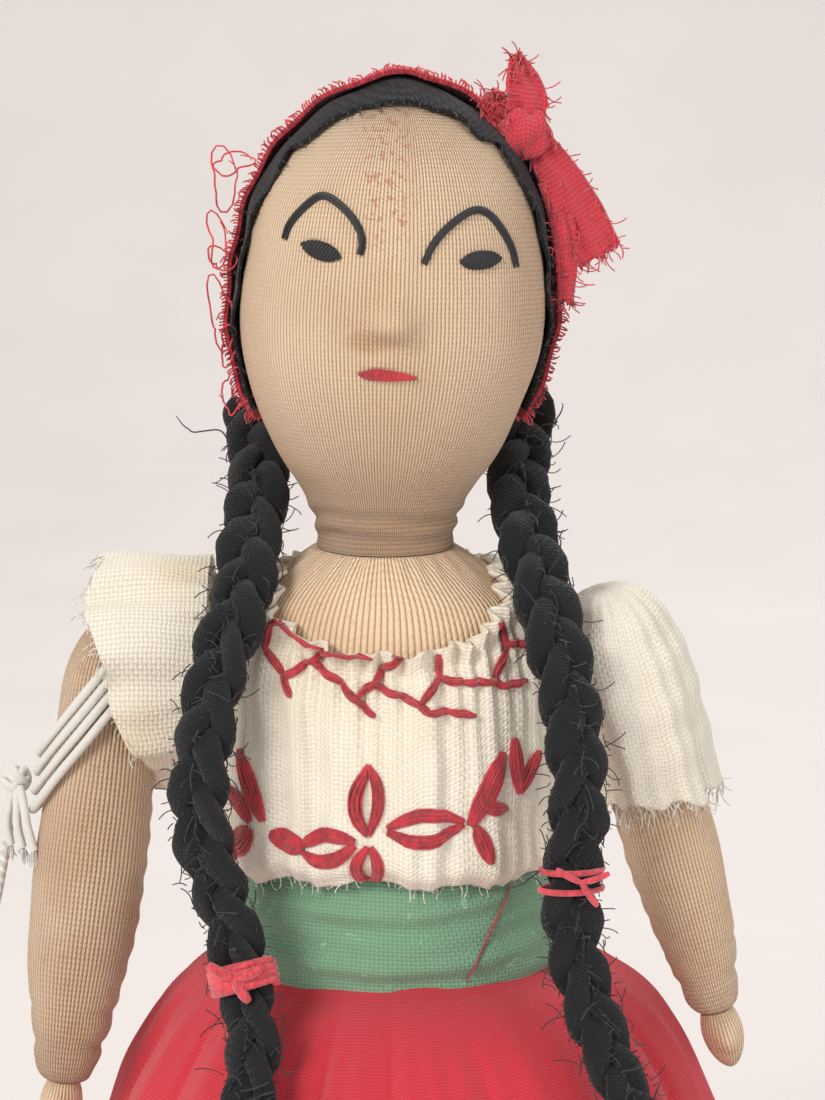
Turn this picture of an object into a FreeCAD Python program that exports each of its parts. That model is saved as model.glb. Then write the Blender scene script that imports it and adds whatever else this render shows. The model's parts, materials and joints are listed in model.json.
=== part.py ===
import FreeCAD, Part
import math
import os

from FreeCAD import Matrix, Placement, Rotation, Vector

# A stuffed stockinette figure in a folk dress, built as a puppet body on a dowel and a shoulder wire.
# Millimetres, +Z up. The face looks along -Y, and the figure's own right side is -X.
# The origin is the middle of the skirt's hem, on the surface that it stands on.

# ---------------------------------------------------------------- driving dimensions

# skirt
skirt_length = 108.0          # hem to waist seam
hem_radius = 55.0
skirt_sway = 2.6              # the bell leans to the figure's left below the waist
skirt_cloth = 0.8             # stiffened cotton, doubled in the pleats
skirt_panels = 12

# body
waist_half_width = 17.5
waist_half_depth = 12.0
torso_length = 46.2           # waist seam to neck seam
body_base_depth = 9.0         # the stuffed body goes on below the waist seam
body_base_inset = 0.7
knit_cloth = 0.5              # stockinette cover of the body, head and arms
layer_gap = 0.15              # between one layer of cloth or stuffing and the next

# waist
waistband_height = 9.5
waistband_cloth = 0.8
waistband_ease = 0.55
sash_height = 12.3
sash_cloth = 0.8

# head
neck_radius = 7.4
head_height = 48.2            # neck seam to the bare crown
head_half_width = 16.2
head_half_depth = 14.8
head_lean = 1.9               # degrees, towards the figure's left
head_offset = -0.35
neck_gap = 0.15               # between the head's cover and the body's
nose_radius = 2.3
nose_reach = 1.3

# black cap and red scarf, both shells over the head
cap_cloth = 0.7
cap_edge = 5.6                # its front edge lies this far in front of the head's axis at the crown
cap_slant = 9.0               # degrees that the edge goes back as it comes down
cap_low = 14.5                # lower edge, above the neck seam
scarf_cloth = 0.7
scarf_edge = 1.0
scarf_low = 14.0

# dowel, wire and beads
peg_radius = 3.0
peg_low = 26.0                # below the neck seam
peg_high = 24.0               # above the neck seam
rod_radius = 0.8
rod_drop = 11.3               # wire below the neck seam
bead_radius = 1.7
running_gap = 0.05            # radial, for what turns
end_gap = 0.3                 # above the dowel's end

# blouse and sleeves
blouse_cloth = 0.6
blouse_ease = 0.9             # how far it stands off the body
blouse_front = 1.5            # extra fullness at the front
blouse_low = 11.1             # lower edge, above the waist seam
neckline_drop = 10.4          # the neckline's front, below the neck seam
neckline_slant = 26.0         # degrees that it rises towards the back
armhole_x = 18.9              # the sleeves start here
seam_gap = 0.3                # between the blouse's side and the sleeve
sleeve_cloth = 0.6

# hands
hand_length = 9.0
hand_half_width = 2.3
hand_half_depth = 2.8
thumb_radius = 1.1
hand_seat = 0.6               # share of half the hand that stands clear of the sewn end

# threads, braids and string
floss_radius = 0.4
floss_lift = 0.27              # a stitch's gap to the cloth that it is sewn on
brow_radius = 0.35
braid_radius = 3.8
tie_radius = 0.5
string_radius = 0.5
string_pitch = 1.15
knot_radius = 1.7
loop_height = 4.9             # the loop's middle, down the arm from the wire
loop_slant = 57.0             # degrees
loop_strands = 4
loop_clearance = 0.35
cut_ends = 3
cut_end_length = 5.5
thread_gap = 0.12             # between one thread and the next

# Outlines: heights are shares of the piece's height, widths are shares of its half width.
SKIRT_OUTLINE = [
    # drop, spread from waist to hem, depth over width
    (0.000, 0.000, 0.74), (0.012, 0.100, 0.74), (0.035, 0.195, 0.77), (0.065, 0.270, 0.81),
    (0.120, 0.365, 0.86), (0.240, 0.510, 0.90), (0.425, 0.680, 0.94), (0.675, 0.850, 0.98),
    (0.925, 0.975, 1.00), (1.000, 1.000, 1.00),
    (1.020, 1.000, 1.00),        # below the hem, cut away
]
TORSO_OUTLINE = [
    # height, half width, half depth
    (0.00, 1.000, 1.00), (0.12, 0.940, 0.97), (0.27, 0.880, 0.94), (0.42, 0.950, 1.00),
    (0.60, 1.000, 1.00), (0.76, 0.980, 0.93), (0.87, 0.870, 0.81), (0.94, 0.660, 0.70),
]
BLOUSE_OUTLINE = [
    # height, share of the ease, share of the fullness at the front
    (0.42, 2.2, 1.0), (0.60, 1.3, 0.8), (0.76, 1.1, 0.5), (0.87, 1.2, 0.3), (0.94, 1.3, 0.2),
    (0.985, 1.3, 0.2),
]
HEAD_OUTLINE = [
    (0.130, 0.555), (0.200, 0.715), (0.276, 0.827), (0.400, 0.957), (0.490, 1.000),
    (0.606, 0.981), (0.737, 0.914), (0.842, 0.778), (0.925, 0.560), (0.975, 0.330),
]

# Arms. The right one hangs a little forward, and the left one stands out from the side.
# An outline row is (share of the length below the shoulder, radius).
ARMS = {
    "right": {
        "side": -1, "shoulder_x": 29.4, "length": 47.2, "splay": 7.0, "swing": 11.0, "cap": 5.2,
        "outline": [(0.0, 5.3), (0.22, 5.5), (0.45, 6.0), (0.62, 6.0), (0.78, 5.1), (0.92, 3.9)],
        "wrist": 2.9,
    },
    "left": {
        "side": 1, "shoulder_x": 24.6, "length": 42.9, "splay": 16.0, "swing": 0.0, "cap": 4.8,
        "outline": [(0.0, 4.9), (0.22, 5.15), (0.45, 5.3), (0.62, 5.1), (0.80, 4.3), (0.93, 3.4)],
        "wrist": 2.6,
    },
}

# Right sleeve: a cap that sticks out sideways. Rows are (reach from the armhole, half height, half depth).
CAP_SLEEVE = [(0.0, 12.0, 9.2), (4.0, 13.0, 10.4), (11.5, 12.6, 10.2)]
cap_sleeve_drop = 13.4        # its middle, below the neck seam
cap_hem_reach = 10.4          # the slanted hem: how far it reaches at the sleeve's middle height
cap_hem_slant = 17.0          # degrees: the hem goes back to the body as it comes down
# Left sleeve: a bell over the shoulder. Rows are (distance down the arm, half width, half depth).
BELL_SLEEVE = [(-6.9, 1.4, 1.8), (-5.6, 4.6, 5.4), (-1.5, 7.0, 8.4), (6.0, 7.5, 9.2), (12.0, 6.9, 8.6),
               (16.4, 6.5, 8.0)]

# Braids, hanging free: points chosen by hand from the nape to the loose end.
BRAID_ROUTES = {
    "right": [
        (-15.3, 13.4, 168.2), (-13.9, 5.6, 161.6), (-14.2, -2.8, 155.6), (-15.9, -10.2, 149.0),
        (-18.2, -14.9, 140.9), (-19.6, -16.9, 132.0), (-18.4, -17.6, 123.4), (-15.4, -18.6, 115.6),
        (-13.5, -21.8, 107.4), (-14.3, -26.8, 99.2), (-17.0, -31.2, 90.6), (-20.2, -34.4, 82.6),
    ],
    "left": [
        (15.6, 13.4, 168.6), (13.9, 5.6, 162.0), (14.5, -3.0, 156.0), (16.7, -10.2, 149.2),
        (19.0, -14.6, 141.0), (19.8, -16.6, 132.2), (18.9, -17.2, 123.6), (19.2, -18.2, 115.3),
        (21.6, -21.0, 107.6), (25.0, -24.6, 100.2), (28.4, -28.0, 92.4), (31.0, -31.0, 84.4),
    ],
}
TIE_RUN = {"right": 7, "left": 6}       # the run of the braid that its tie sits on

# The string's loose tail, from the knot on the right arm.
STRING_TAIL = [
    (-40.7, -2.1, 126.9), (-42.4, -2.8, 116.3), (-45.6, -3.7, 105.0), (-49.4, -4.6, 93.5),
    (-53.0, -5.5, 80.5), (-56.0, -5.3, 66.5), (-57.9, -4.9, 51.5), (-58.6, -4.4, 36.5),
]

# Embroidery: (x, z) seen from the front. Each pair of points in a row is one stitch.
FEATHER_STITCHES = [
    [(-7.6, 148.0), (-9.7, 149.0), (-12.3, 147.3), (-12.8, 144.9), (-10.9, 142.4), (-10.2, 140.5)],
    [(-10.7, 142.2), (-8.0, 144.0), (-6.2, 145.0)],
    [(-7.7, 143.5), (-4.7, 141.9), (-3.2, 140.3), (-1.5, 138.9)],
    [(-2.9, 141.0), (-1.3, 142.3)],
    [(-1.1, 141.7), (1.2, 140.9), (3.4, 140.0), (6.5, 139.1), (8.9, 138.5)],
    [(3.6, 140.6), (5.2, 142.2)],
    [(5.8, 142.3), (7.9, 141.9), (10.8, 141.6), (14.5, 141.1)],
    [(11.2, 142.2), (12.4, 144.9), (11.9, 147.2)],
    [(12.9, 145.1), (15.2, 144.7)],
]
FLOWER_STITCHES = [
    [(-2.5, 127.0), (-3.7, 130.4), (-1.9, 133.6)],
    [(-1.5, 133.3), (-1.0, 130.5), (-1.9, 127.2)],
    [(-2.3, 125.2), (-3.2, 123.0), (-1.9, 120.9)],
    [(-1.6, 125.2), (-1.0, 123.1), (-1.2, 120.9)],
    [(-12.2, 125.3), (-9.3, 124.7)],
    [(-8.9, 124.9), (-6.2, 126.6), (-3.3, 126.2)],
    [(-8.9, 124.2), (-6.2, 123.8), (-3.3, 125.4)],
    [(0.0, 127.4), (3.9, 128.9), (7.8, 127.7)],
    [(0.0, 126.8), (3.9, 125.8), (7.8, 126.9)],
    [(9.0, 128.0), (11.9, 134.0)],
    [(10.3, 129.0), (12.4, 128.3)],
    [(9.3, 126.6), (10.7, 123.1)],
    [(13.2, 135.3), (13.8, 130.0)],
    [(14.4, 130.1), (15.9, 133.2)],
    [(-15.3, 133.2), (-13.2, 127.2)],
    [(-16.6, 128.9), (-14.6, 126.8)],
    [(-14.6, 125.6), (-16.4, 122.2)],
]
BROW_STITCHES = [
    [(-10.3, 187.5), (-9.6, 189.3), (-7.9, 191.1), (-6.3, 192.2), (-4.3, 190.9), (-2.9, 189.1),
     (-2.6, 186.2)],
    [(3.7, 185.3), (4.6, 187.3), (6.4, 189.2), (8.7, 190.7), (10.3, 190.1), (11.7, 188.3), (12.7, 186.4)],
]
EYES = [((-6.5, 186.5), -20.0), ((9.4, 185.5), 0.0)]     # place, tilt in degrees
MOUTH = [((0.1, 174.2), -4.0)]
eye_half_width = 1.9
eye_half_height = 1.0
mouth_half_width = 2.6
mouth_half_height = 0.65
NOSE = (1.1, 179.3)
satin_radius = 0.25

# Bow on the scarf: flat pieces of cloth, (x, z) seen from the front.
BOW_KNOT = (14.0, -0.6, 197.9)
bow_knot_radius = 3.2
bow_cloth = 0.7
BOW_TAILS = {
    "upper": [(13.4, 199.6), (16.0, 200.4), (14.9, 203.0), (13.2, 206.2), (11.9, 203.4)],
    "lower": [(16.4, 198.6), (19.6, 194.4), (23.4, 185.4), (21.6, 184.2), (20.2, 186.6), (18.0, 190.9)],
    "side": [(17.4, 190.2), (18.9, 188.6), (19.6, 186.0), (19.4, 180.4), (18.3, 180.2), (17.6, 184.6)],
}

# ---------------------------------------------------------------- places worked out from them

waist_z = skirt_length
neck_z = waist_z + torso_length
crown_z = neck_z + head_height
rod_z = neck_z - rod_drop
neck_half_depth = neck_radius * head_half_depth / head_half_width
cap_inner = layer_gap
cap_outer = cap_inner + cap_cloth
scarf_inner = cap_outer + layer_gap
scarf_outer = scarf_inner + scarf_cloth
sash_reach = waistband_ease + waistband_cloth + layer_gap + sash_cloth
skirt_top_half_width = waist_half_width + sash_reach
full = 200.0                  # larger than any piece, for boxes that cut


# ---------------------------------------------------------------- helpers

def ring(z, half_x, half_y, centre_x=0.0, centre_y=0.0):
    """A level ellipse that always starts on its +X side, so that rings loft without a twist."""
    matrix = Matrix()
    matrix.scale(half_x, half_y, 1.0)
    matrix.move(Vector(centre_x, centre_y, z))
    return Part.Wire([Part.makeCircle(1.0).transformGeometry(matrix)])


def stack(rings):
    """The solid through a list of rings."""
    return Part.makeLoft([ring(*row) for row in rings], True)


def tube(outer, inner, closed_start=False):
    """The cloth between two stacks of rings. With closed_start it is a cup: its first end is covered."""
    outside = Part.makeLoft([ring(*row) for row in outer], False)
    inside = Part.makeLoft([ring(*row) for row in inner], False)
    end = Part.makeFace([ring(*outer[-1]), ring(*inner[-1])], "Part::FaceMakerBullseye")
    if closed_start:
        starts = [Part.Face(ring(*outer[0])), Part.Face(ring(*inner[0]))]
    else:
        starts = [Part.makeFace([ring(*outer[0]), ring(*inner[0])], "Part::FaceMakerBullseye")]
    return closed_solid(outside.Faces + inside.Faces + [end] + starts)


def closed_solid(faces):
    shell = Part.makeShell(faces)
    shell.sewShape()
    solid = Part.makeSolid(Part.makeShell(shell.Faces))
    if solid.Volume < 0:
        solid.reverse()
    return solid


def spline_to_axis(points, pole):
    """A smooth outline in the XZ plane whose point with this index is on the axis and crosses it level."""
    neighbour = points[pole - 1] if pole else points[1]
    mirrored = Vector(-neighbour.x, 0, neighbour.z)
    curve = Part.BSplineCurve()
    curve.interpolate(points + [mirrored] if pole else [mirrored] + points)
    ends = sorted(curve.parameter(point) for point in (points[0], points[-1]))
    return curve.toShape(*ends)


def turned(edges):
    """The solid of revolution of a closed outline in the XZ plane, about Z."""
    face = Part.Face(Part.Wire(Part.__sortEdges__(edges)))
    return face.revolve(Vector(0, 0, 0), Vector(0, 0, 1), 360)


def ellipsoid(centre, radii, tilt=0.0):
    """tilt turns it about Y, in degrees."""
    matrix = Matrix()
    matrix.scale(*radii)
    matrix.rotateY(math.radians(-tilt))
    matrix.move(centre)
    return Part.makeSphere(1.0).transformGeometry(matrix)


def rod(start, end, radius):
    return Part.makeCylinder(radius, (end - start).Length, start, end - start)


def front_point(skin, x, z):
    """Where a line along Y first meets a skin from the front."""
    line = Part.makeLine(Vector(x, -full, z), Vector(x, 0, z))
    pairs = line.distToShape(Part.makeShell(skin.Faces))[1]
    return min((pair[0] for pair in pairs), key=lambda point: point.y)


def stitches(rows, skin, radius):
    """Straight threads between the points of each row, laid just clear of the skin and each other."""
    threads = []
    for row in rows:
        points = [front_point(skin, x, z) for x, z in row]
        for start, end in zip(points, points[1:]):
            along = (end - start).normalize()
            out = Vector((start + end).x / (2 * waist_half_width), -1, 0).normalize()
            lift = out * (radius + floss_lift)
            inset = along * (thread_gap + radius / 2)
            threads.append(rod(start + lift + inset, end + lift - inset, radius))
    return Part.makeCompound(threads)


def route_tube(points, radius, name):
    """A tube along straight runs joined by the largest tangent arcs that the runs allow."""
    points = [Vector(*point) for point in points]
    edges = []
    last = points[0]
    radii = []
    for before, corner, after in zip(points, points[1:], points[2:]):
        incoming = (corner - before).normalize()
        outgoing = (after - corner).normalize()
        cut_back = 0.45 * min((corner - before).Length, (after - corner).Length)
        start = corner - incoming * cut_back
        end = corner + outgoing * cut_back
        half_turn = incoming.getAngle(outgoing) / 2
        arc_radius = cut_back / math.tan(half_turn)
        inward = (outgoing - incoming).normalize()
        centre = corner + inward * (arc_radius / math.cos(half_turn))
        middle = centre - inward * arc_radius
        edges.append(Part.LineSegment(last, start).toShape())
        edges.append(Part.Arc(start, middle, end).toShape())
        last = end
        radii.append(arc_radius)
    edges.append(Part.LineSegment(last, points[-1]).toShape())
    path = Part.Wire(edges)
    section = Part.Wire([Part.makeCircle(radius, points[0], points[1] - points[0])])
    solid = path.makePipeShell([section], True, False, 1)
    expected = math.pi * radius**2 * path.Length
    print(f"{name}: length {path.Length:.1f}, least radius {min(radii):.1f},"
          f" volume over section times length {solid.Volume / expected:.4f}")
    return solid


def half_space(point, normal):
    """A block that fills the side of a plane that its normal points to."""
    block = Part.makeBox(2 * full, 2 * full, full, Vector(-full, -full, 0))
    block.Placement = Placement(point, Rotation(Vector(0, 0, 1), normal))
    return block


def save(shape, name):
    shape.exportStep(f"parts/{name}.step")


# ---------------------------------------------------------------- body

def torso_at(share):
    """Half width and half depth of the covered body at a share of the torso's length."""
    rows = TORSO_OUTLINE + [(1.0, neck_radius / waist_half_width, neck_half_depth / waist_half_depth)]
    for low, high in zip(rows, rows[1:]):
        if share <= high[0]:
            part = (share - low[0]) / (high[0] - low[0])
            return (waist_half_width * (low[1] + part * (high[1] - low[1])),
                    waist_half_depth * (low[2] + part * (high[2] - low[2])))
    return neck_radius, neck_half_depth


def torso_rings(inset):
    base = body_base_inset + inset
    rings = [(waist_z - body_base_depth, waist_half_width - base, waist_half_depth - base)]
    for share, width, depth in TORSO_OUTLINE:
        rings.append((waist_z + share * torso_length, waist_half_width * width - inset,
                      waist_half_depth * depth - inset))
    rings.append((neck_z - neck_gap, neck_radius - inset, neck_half_depth - inset, head_offset))
    return rings


def shoulder_rod():
    ends = {name: arm["side"] * arm["shoulder_x"] for name, arm in ARMS.items()}
    return rod(Vector(ends["right"], 0, rod_z), Vector(ends["left"], 0, rod_z), rod_radius)


def neck_peg():
    return Part.makeCylinder(peg_radius, peg_low + peg_high, Vector(0, 0, neck_z - peg_low))


def band(low, high, ease_low, ease_high, cloth):
    """A band round the waist between two heights above the waist seam."""
    rings = []
    for extra in (cloth, 0.0):
        rows = []
        for height, ease in ((low, ease_low), (high, ease_high)):
            half_width, half_depth = torso_at(height / torso_length)
            rows.append((waist_z + height, half_width + ease + extra, half_depth + ease + extra))
        rings.append(rows)
    return tube(*rings)


def blouse_rings(inset):
    """From the hem, which hangs over the sash's upper edge, to the top of the shoulders."""
    low = blouse_low / torso_length
    over_sash = sash_reach + blouse_cloth + seam_gap
    rows = [(low, over_sash, 0.3), (low + 0.05, over_sash, 0.6)]
    rows += [(share, ease * blouse_ease, front) for share, ease, front in BLOUSE_OUTLINE]
    rings = []
    for share, ease, front in rows:
        half_width, half_depth = torso_at(share)
        forward = front * blouse_front / 2
        rings.append((waist_z + share * torso_length, half_width + ease - inset,
                      half_depth + ease + forward - inset, 0.0, -forward))
    return rings


def blouse_body():
    body = tube(blouse_rings(0.0), blouse_rings(blouse_cloth))
    slant = math.radians(neckline_slant)
    front = Vector(0, -waist_half_depth - blouse_ease, neck_z - neckline_drop)
    body = body.cut(half_space(front, Vector(0, -math.sin(slant), math.cos(slant))))
    side = armhole_x - seam_gap
    body = body.common(Part.makeBox(2 * side, full, full, Vector(-side, -full / 2, 0)))
    return body.cut(rod(Vector(-full, 0, rod_z), Vector(full, 0, rod_z), rod_radius + running_gap))


# ---------------------------------------------------------------- skirt

def skirt_row(drop, spread, depth):
    """Height, half width, half depth and sideways shift of the skirt at a share of its length."""
    half_width = skirt_top_half_width + spread * (hem_radius - skirt_top_half_width)
    shift = skirt_sway * math.sin(math.pi * drop**0.36)
    return waist_z * (1 - drop), half_width, half_width * depth, shift


def skirt_reach(row, angle, inset):
    """How far the skirt stands from the Z axis in one direction."""
    _, half_width, half_depth, shift = row
    a = half_width - inset
    b = half_depth - inset
    cosine = math.cos(angle)
    sine = math.sin(angle)
    square = (cosine / a) ** 2 + (sine / b) ** 2
    middle = shift * cosine / a**2
    return (middle + math.sqrt(middle**2 + square * (1 - (shift / a) ** 2))) / square


def skirt_section(angle):
    """The cut outline of the cloth in the vertical plane at one angle."""
    rows = [skirt_row(*row) for row in SKIRT_OUTLINE]
    edges = []
    ends = []
    for inset in (0.0, skirt_cloth):
        points = []
        for row in rows:
            reach = skirt_reach(row, angle, inset)
            points.append(Vector(reach * math.cos(angle), reach * math.sin(angle), row[0]))
        curve = Part.BSplineCurve()
        curve.interpolate(points)
        edges.append(curve.toShape())
        ends.append((points[0], points[-1]))
    edges.insert(1, Part.LineSegment(ends[0][1], ends[1][1]).toShape())
    edges.append(Part.LineSegment(ends[1][0], ends[0][0]).toShape())
    return Part.Wire(edges)


def skirt():
    """Panels whose lower edges are cut flat at the hem."""
    step = 2 * math.pi / skirt_panels
    below_hem = Part.makeBox(2 * full, 2 * full, full, Vector(-full, -full, -full))
    panels = []
    for panel in range(skirt_panels):
        angles = [step * (panel + share) for share in (0.0, 0.5, 1.0)]
        cloth = Part.makeLoft([skirt_section(angle) for angle in angles], True)
        panels.append(cloth.cut(below_hem))
    return Part.makeCompound(panels)


# ---------------------------------------------------------------- head

def head_points(grow):
    """The head's outline from the neck seam up to the crown, grown outwards along its own normals."""
    points = [Vector(neck_radius, 0, neck_z), Vector(neck_radius, 0, neck_z + 0.05 * head_height)]
    for share, width in HEAD_OUTLINE:
        points.append(Vector(head_half_width * width, 0, neck_z + share * head_height))
    points.append(Vector(0, 0, crown_z))
    normals = [Vector(1, 0, 0)]
    for before, after in zip(points, points[2:]):
        along = after - before
        normals.append(Vector(along.z, 0, -along.x).normalize())
    normals.append(Vector(0, 0, 1))
    return [point + normal * grow for point, normal in zip(points, normals)]


def shaped(solid):
    """Flattens a turned head piece front to back and leans it."""
    lean = math.tan(math.radians(head_lean))
    ratio = head_half_depth / head_half_width
    shift = head_offset - lean * neck_z
    return solid.transformGeometry(Matrix(1, 0, lean, shift, 0, ratio, 0, 0, 0, 0, 1, 0, 0, 0, 0, 1))


def head_edge(grow):
    points = head_points(grow)
    return spline_to_axis(points, len(points) - 1)


def head_shell(inner, outer, keep=()):
    """The cloth between two grown head outlines, within the half spaces given."""
    low = [head_points(grow)[0] for grow in (inner, outer)]
    high = [head_points(grow)[-1] for grow in (inner, outer)]
    cloth = turned([head_edge(inner), head_edge(outer), Part.LineSegment(*low).toShape(),
                    Part.LineSegment(*high).toShape()])
    for space in keep:
        cloth = cloth.common(space)
    return shaped(cloth)


def head_solid(grow):
    top = head_points(grow)[-1]
    low = head_points(grow)[0]
    foot = Vector(0, 0, neck_z)
    return shaped(turned([head_edge(grow), Part.LineSegment(foot, low).toShape(),
                          Part.LineSegment(foot, top).toShape()]))


def head_stuffing():
    bore = Part.makeCylinder(peg_radius + running_gap, peg_high + end_gap + 1.0, Vector(0, 0, neck_z - 1.0))
    return head_solid(-knit_cloth - layer_gap).cut(bore)


def behind(edge, low):
    """The half spaces behind a slanted front edge and above a level lower edge."""
    slant = math.radians(cap_slant)
    return (half_space(Vector(0, -edge, crown_z), Vector(0, math.cos(slant), math.sin(slant))),
            half_space(Vector(0, 0, neck_z + low), Vector(0, 0, 1)))


def hair_cap():
    return head_shell(cap_inner, cap_outer, behind(cap_edge, cap_low))


def head_scarf():
    return head_shell(scarf_inner, scarf_outer, behind(scarf_edge, scarf_low))


def scarf_bow(head):
    """The knot and three tails, cut to the scarf that they lie on."""
    knot = Part.makeSphere(bow_knot_radius, Vector(*BOW_KNOT))
    tails = []
    for outline in BOW_TAILS.values():
        points = [Vector(x, BOW_KNOT[1] - bow_cloth / 2, z) for x, z in outline]
        flat = Part.Face(Part.makePolygon(points + points[:1])).extrude(Vector(0, bow_cloth, 0))
        tails.append(flat.cut(knot).cut(head))
    return Part.makeCompound([knot.cut(head)] + tails)


def satin_rows(centre, half_width, half_height, tilt):
    """Parallel stitches that fill an oval: the rows are closest at the middle and shorter at the ends."""
    pitch = 2 * satin_radius + thread_gap
    count = int(half_height / pitch)
    rows = []
    for row in range(-count, count + 1):
        height = row * pitch
        reach = half_width * math.sqrt(1 - (height / (half_height + satin_radius)) ** 2)
        points = []
        for along in (-reach, 0.0, reach):
            turn = math.radians(tilt)
            points.append((centre[0] + along * math.cos(turn) - height * math.sin(turn),
                           centre[1] + along * math.sin(turn) + height * math.cos(turn)))
        rows.append(points)
    return rows


def nose(head):
    centre = front_point(head, *NOSE) + Vector(0, nose_radius - nose_reach, 0)
    return Part.makeSphere(nose_radius, centre).cut(head)


def braid_tie(name):
    """A round of thread pulled tight on one run of the braid."""
    run = TIE_RUN[name]
    start, end = (Vector(*point) for point in BRAID_ROUTES[name][run:run + 2])
    reach = braid_radius + thread_gap + tie_radius
    return Part.makeTorus(reach, tie_radius, (start + end) / 2, end - start)


# ---------------------------------------------------------------- arms

def arm_frame(arm):
    """The arm's own frame: its origin is on the wire, and its Z axis runs down the arm."""
    turn = Rotation(Vector(1, 0, 0), 180)
    turn = Rotation(Vector(0, 1, 0), -arm["side"] * arm["splay"]).multiply(turn)
    turn = Rotation(Vector(1, 0, 0), -arm["swing"]).multiply(turn)
    return Placement(Vector(arm["side"] * arm["shoulder_x"], 0, rod_z), turn)


def placed(solid, frame):
    return solid.transformGeometry(frame.toMatrix())


def arm_points(arm, grow):
    """The arm's outline from the top of the shoulder down to its sewn end."""
    points = [Vector(0, 0, -arm["cap"] - grow)]
    for share, radius in arm["outline"]:
        points.append(Vector(radius + grow, 0, share * arm["length"]))
    points.append(Vector(arm["wrist"] + grow, 0, arm["length"]))
    return points


def arm_edge(arm, grow):
    return spline_to_axis(arm_points(arm, grow), 0)


def arm_cover(arm):
    tops, ends = zip(*[(points[0], points[-1]) for points in (arm_points(arm, 0.0),
                                                              arm_points(arm, -knit_cloth))])
    edges = [arm_edge(arm, 0.0), arm_edge(arm, -knit_cloth), Part.LineSegment(*tops).toShape(),
             Part.LineSegment(*ends).toShape()]
    return placed(turned(edges), arm_frame(arm)).cut(rod_hole(arm))


def arm_stuffing(arm):
    points = arm_points(arm, -knit_cloth - layer_gap)
    foot = Vector(0, 0, arm["length"])
    edges = [arm_edge(arm, -knit_cloth - layer_gap), Part.LineSegment(points[-1], foot).toShape(),
             Part.LineSegment(foot, points[0]).toShape()]
    return placed(turned(edges), arm_frame(arm)).cut(rod_hole(arm))


def rod_hole(arm):
    """The wire's bore in an arm, and the pocket round its bead."""
    bead = Vector(arm["side"] * arm["shoulder_x"], 0, rod_z)
    bore = rod(Vector(0, 0, rod_z), bead, rod_radius + running_gap)
    return bore.fuse(Part.makeSphere(bead_radius + running_gap, bead))


def hand(arm):
    """A mitten hand with its thumb to the front, sewn to the end of the arm."""
    half_length = hand_length / 2
    middle = arm["length"] + half_length * hand_seat
    palm = ellipsoid(Vector(0, 0, middle), (hand_half_width, hand_half_depth, half_length))
    thumb = ellipsoid(Vector(0, hand_half_depth, middle), (thumb_radius, thumb_radius, 2.4))
    end = half_space(Vector(0, 0, arm["length"]), Vector(0, 0, 1))
    return placed(palm.fuse(thumb).common(end), arm_frame(arm))


def cap_sleeve(arm):
    outer = [(reach, half_height, half_depth) for reach, half_height, half_depth in CAP_SLEEVE]
    inner = [(reach, half_height - sleeve_cloth, half_depth - sleeve_cloth)
             for reach, half_height, half_depth in CAP_SLEEVE]
    frame = Placement(Vector(arm["side"] * armhole_x, 0, neck_z - cap_sleeve_drop),
                      Rotation(Vector(0, 1, 0), 90 * arm["side"]))
    slant = math.radians(cap_hem_slant)
    hem = Vector(arm["side"] * (armhole_x + cap_hem_reach), 0, neck_z - cap_sleeve_drop)
    beyond = half_space(hem, Vector(arm["side"] * math.cos(slant), 0, -math.sin(slant)))
    return placed(tube(outer, inner), frame).cut(beyond)


def bell_sleeve(arm):
    outer = BELL_SLEEVE
    inner = [(z, half_width - sleeve_cloth, half_depth - sleeve_cloth) for z, half_width, half_depth
             in BELL_SLEEVE]
    inner[0] = (inner[0][0] + sleeve_cloth, *inner[0][1:])
    cloth = placed(tube(outer, inner, closed_start=True), arm_frame(arm))
    outside = half_space(Vector(arm["side"] * armhole_x, 0, 0), Vector(arm["side"], 0, 0))
    return cloth.common(outside)


# ---------------------------------------------------------------- string on the right arm

def loop_frame(arm):
    """In the arm's frame, the loop's outer end slants down."""
    turn = Rotation(Vector(0, 1, 0), -arm["side"] * loop_slant)
    return arm_frame(arm).multiply(Placement(Vector(0, 0, loop_height), turn))


def loop_reach(arm):
    """Half width of the loop, at the middle of its thread."""
    return max(radius for _, radius in arm["outline"]) + loop_clearance + string_radius


def string_loop(arm):
    """Strands side by side, slanting down round the upper arm to the knot on its outer side."""
    reach = loop_reach(arm)
    turn = Rotation(Vector(0, 1, 0), arm["side"] * loop_slant)
    along_arm = turn.multVec(Vector(0, 0, 1)) / math.cos(math.radians(loop_slant))
    strands = []
    for strand in range(loop_strands):
        matrix = Matrix()
        matrix.scale(1 / math.cos(math.radians(loop_slant)), 1.0, 1.0)
        path = Part.Wire([Part.makeCircle(reach).transformGeometry(matrix)])
        start = path.Edges[0].valueAt(path.Edges[0].FirstParameter)
        section = Part.Wire([Part.makeCircle(string_radius, start, Vector(0, 1, 0))])
        loop = path.makePipeShell([section], True, True)
        loop.translate(along_arm * (strand - (loop_strands - 1) / 2) * string_pitch)
        strands.append(loop)
    loops = Part.makeCompound(strands)
    loops.Placement = loop_frame(arm)
    return loops


def string_knot(arm):
    """The knot, sitting on the strands, and the cut ends that hang from it."""
    side = arm["side"]
    major = loop_reach(arm) / math.cos(math.radians(loop_slant))
    outward = arm_frame(arm).Rotation.multVec(Vector(side, 0, 0))
    outer_end = loop_frame(arm).multVec(Vector(side * major, 0, 0))
    knot_centre = outer_end + outward * (string_radius + thread_gap + knot_radius)
    ends = []
    for end in range(cut_ends):
        forward = (end + 1) * (2 * string_radius + thread_gap)
        start = knot_centre + Vector(side * string_radius, -forward, -knot_radius)
        ends.append(rod(start, start + Vector(side * forward / 3, -forward / 3, -cut_end_length),
                        string_radius))
    return Part.makeCompound([Part.makeSphere(knot_radius, knot_centre)] + ends)


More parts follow.
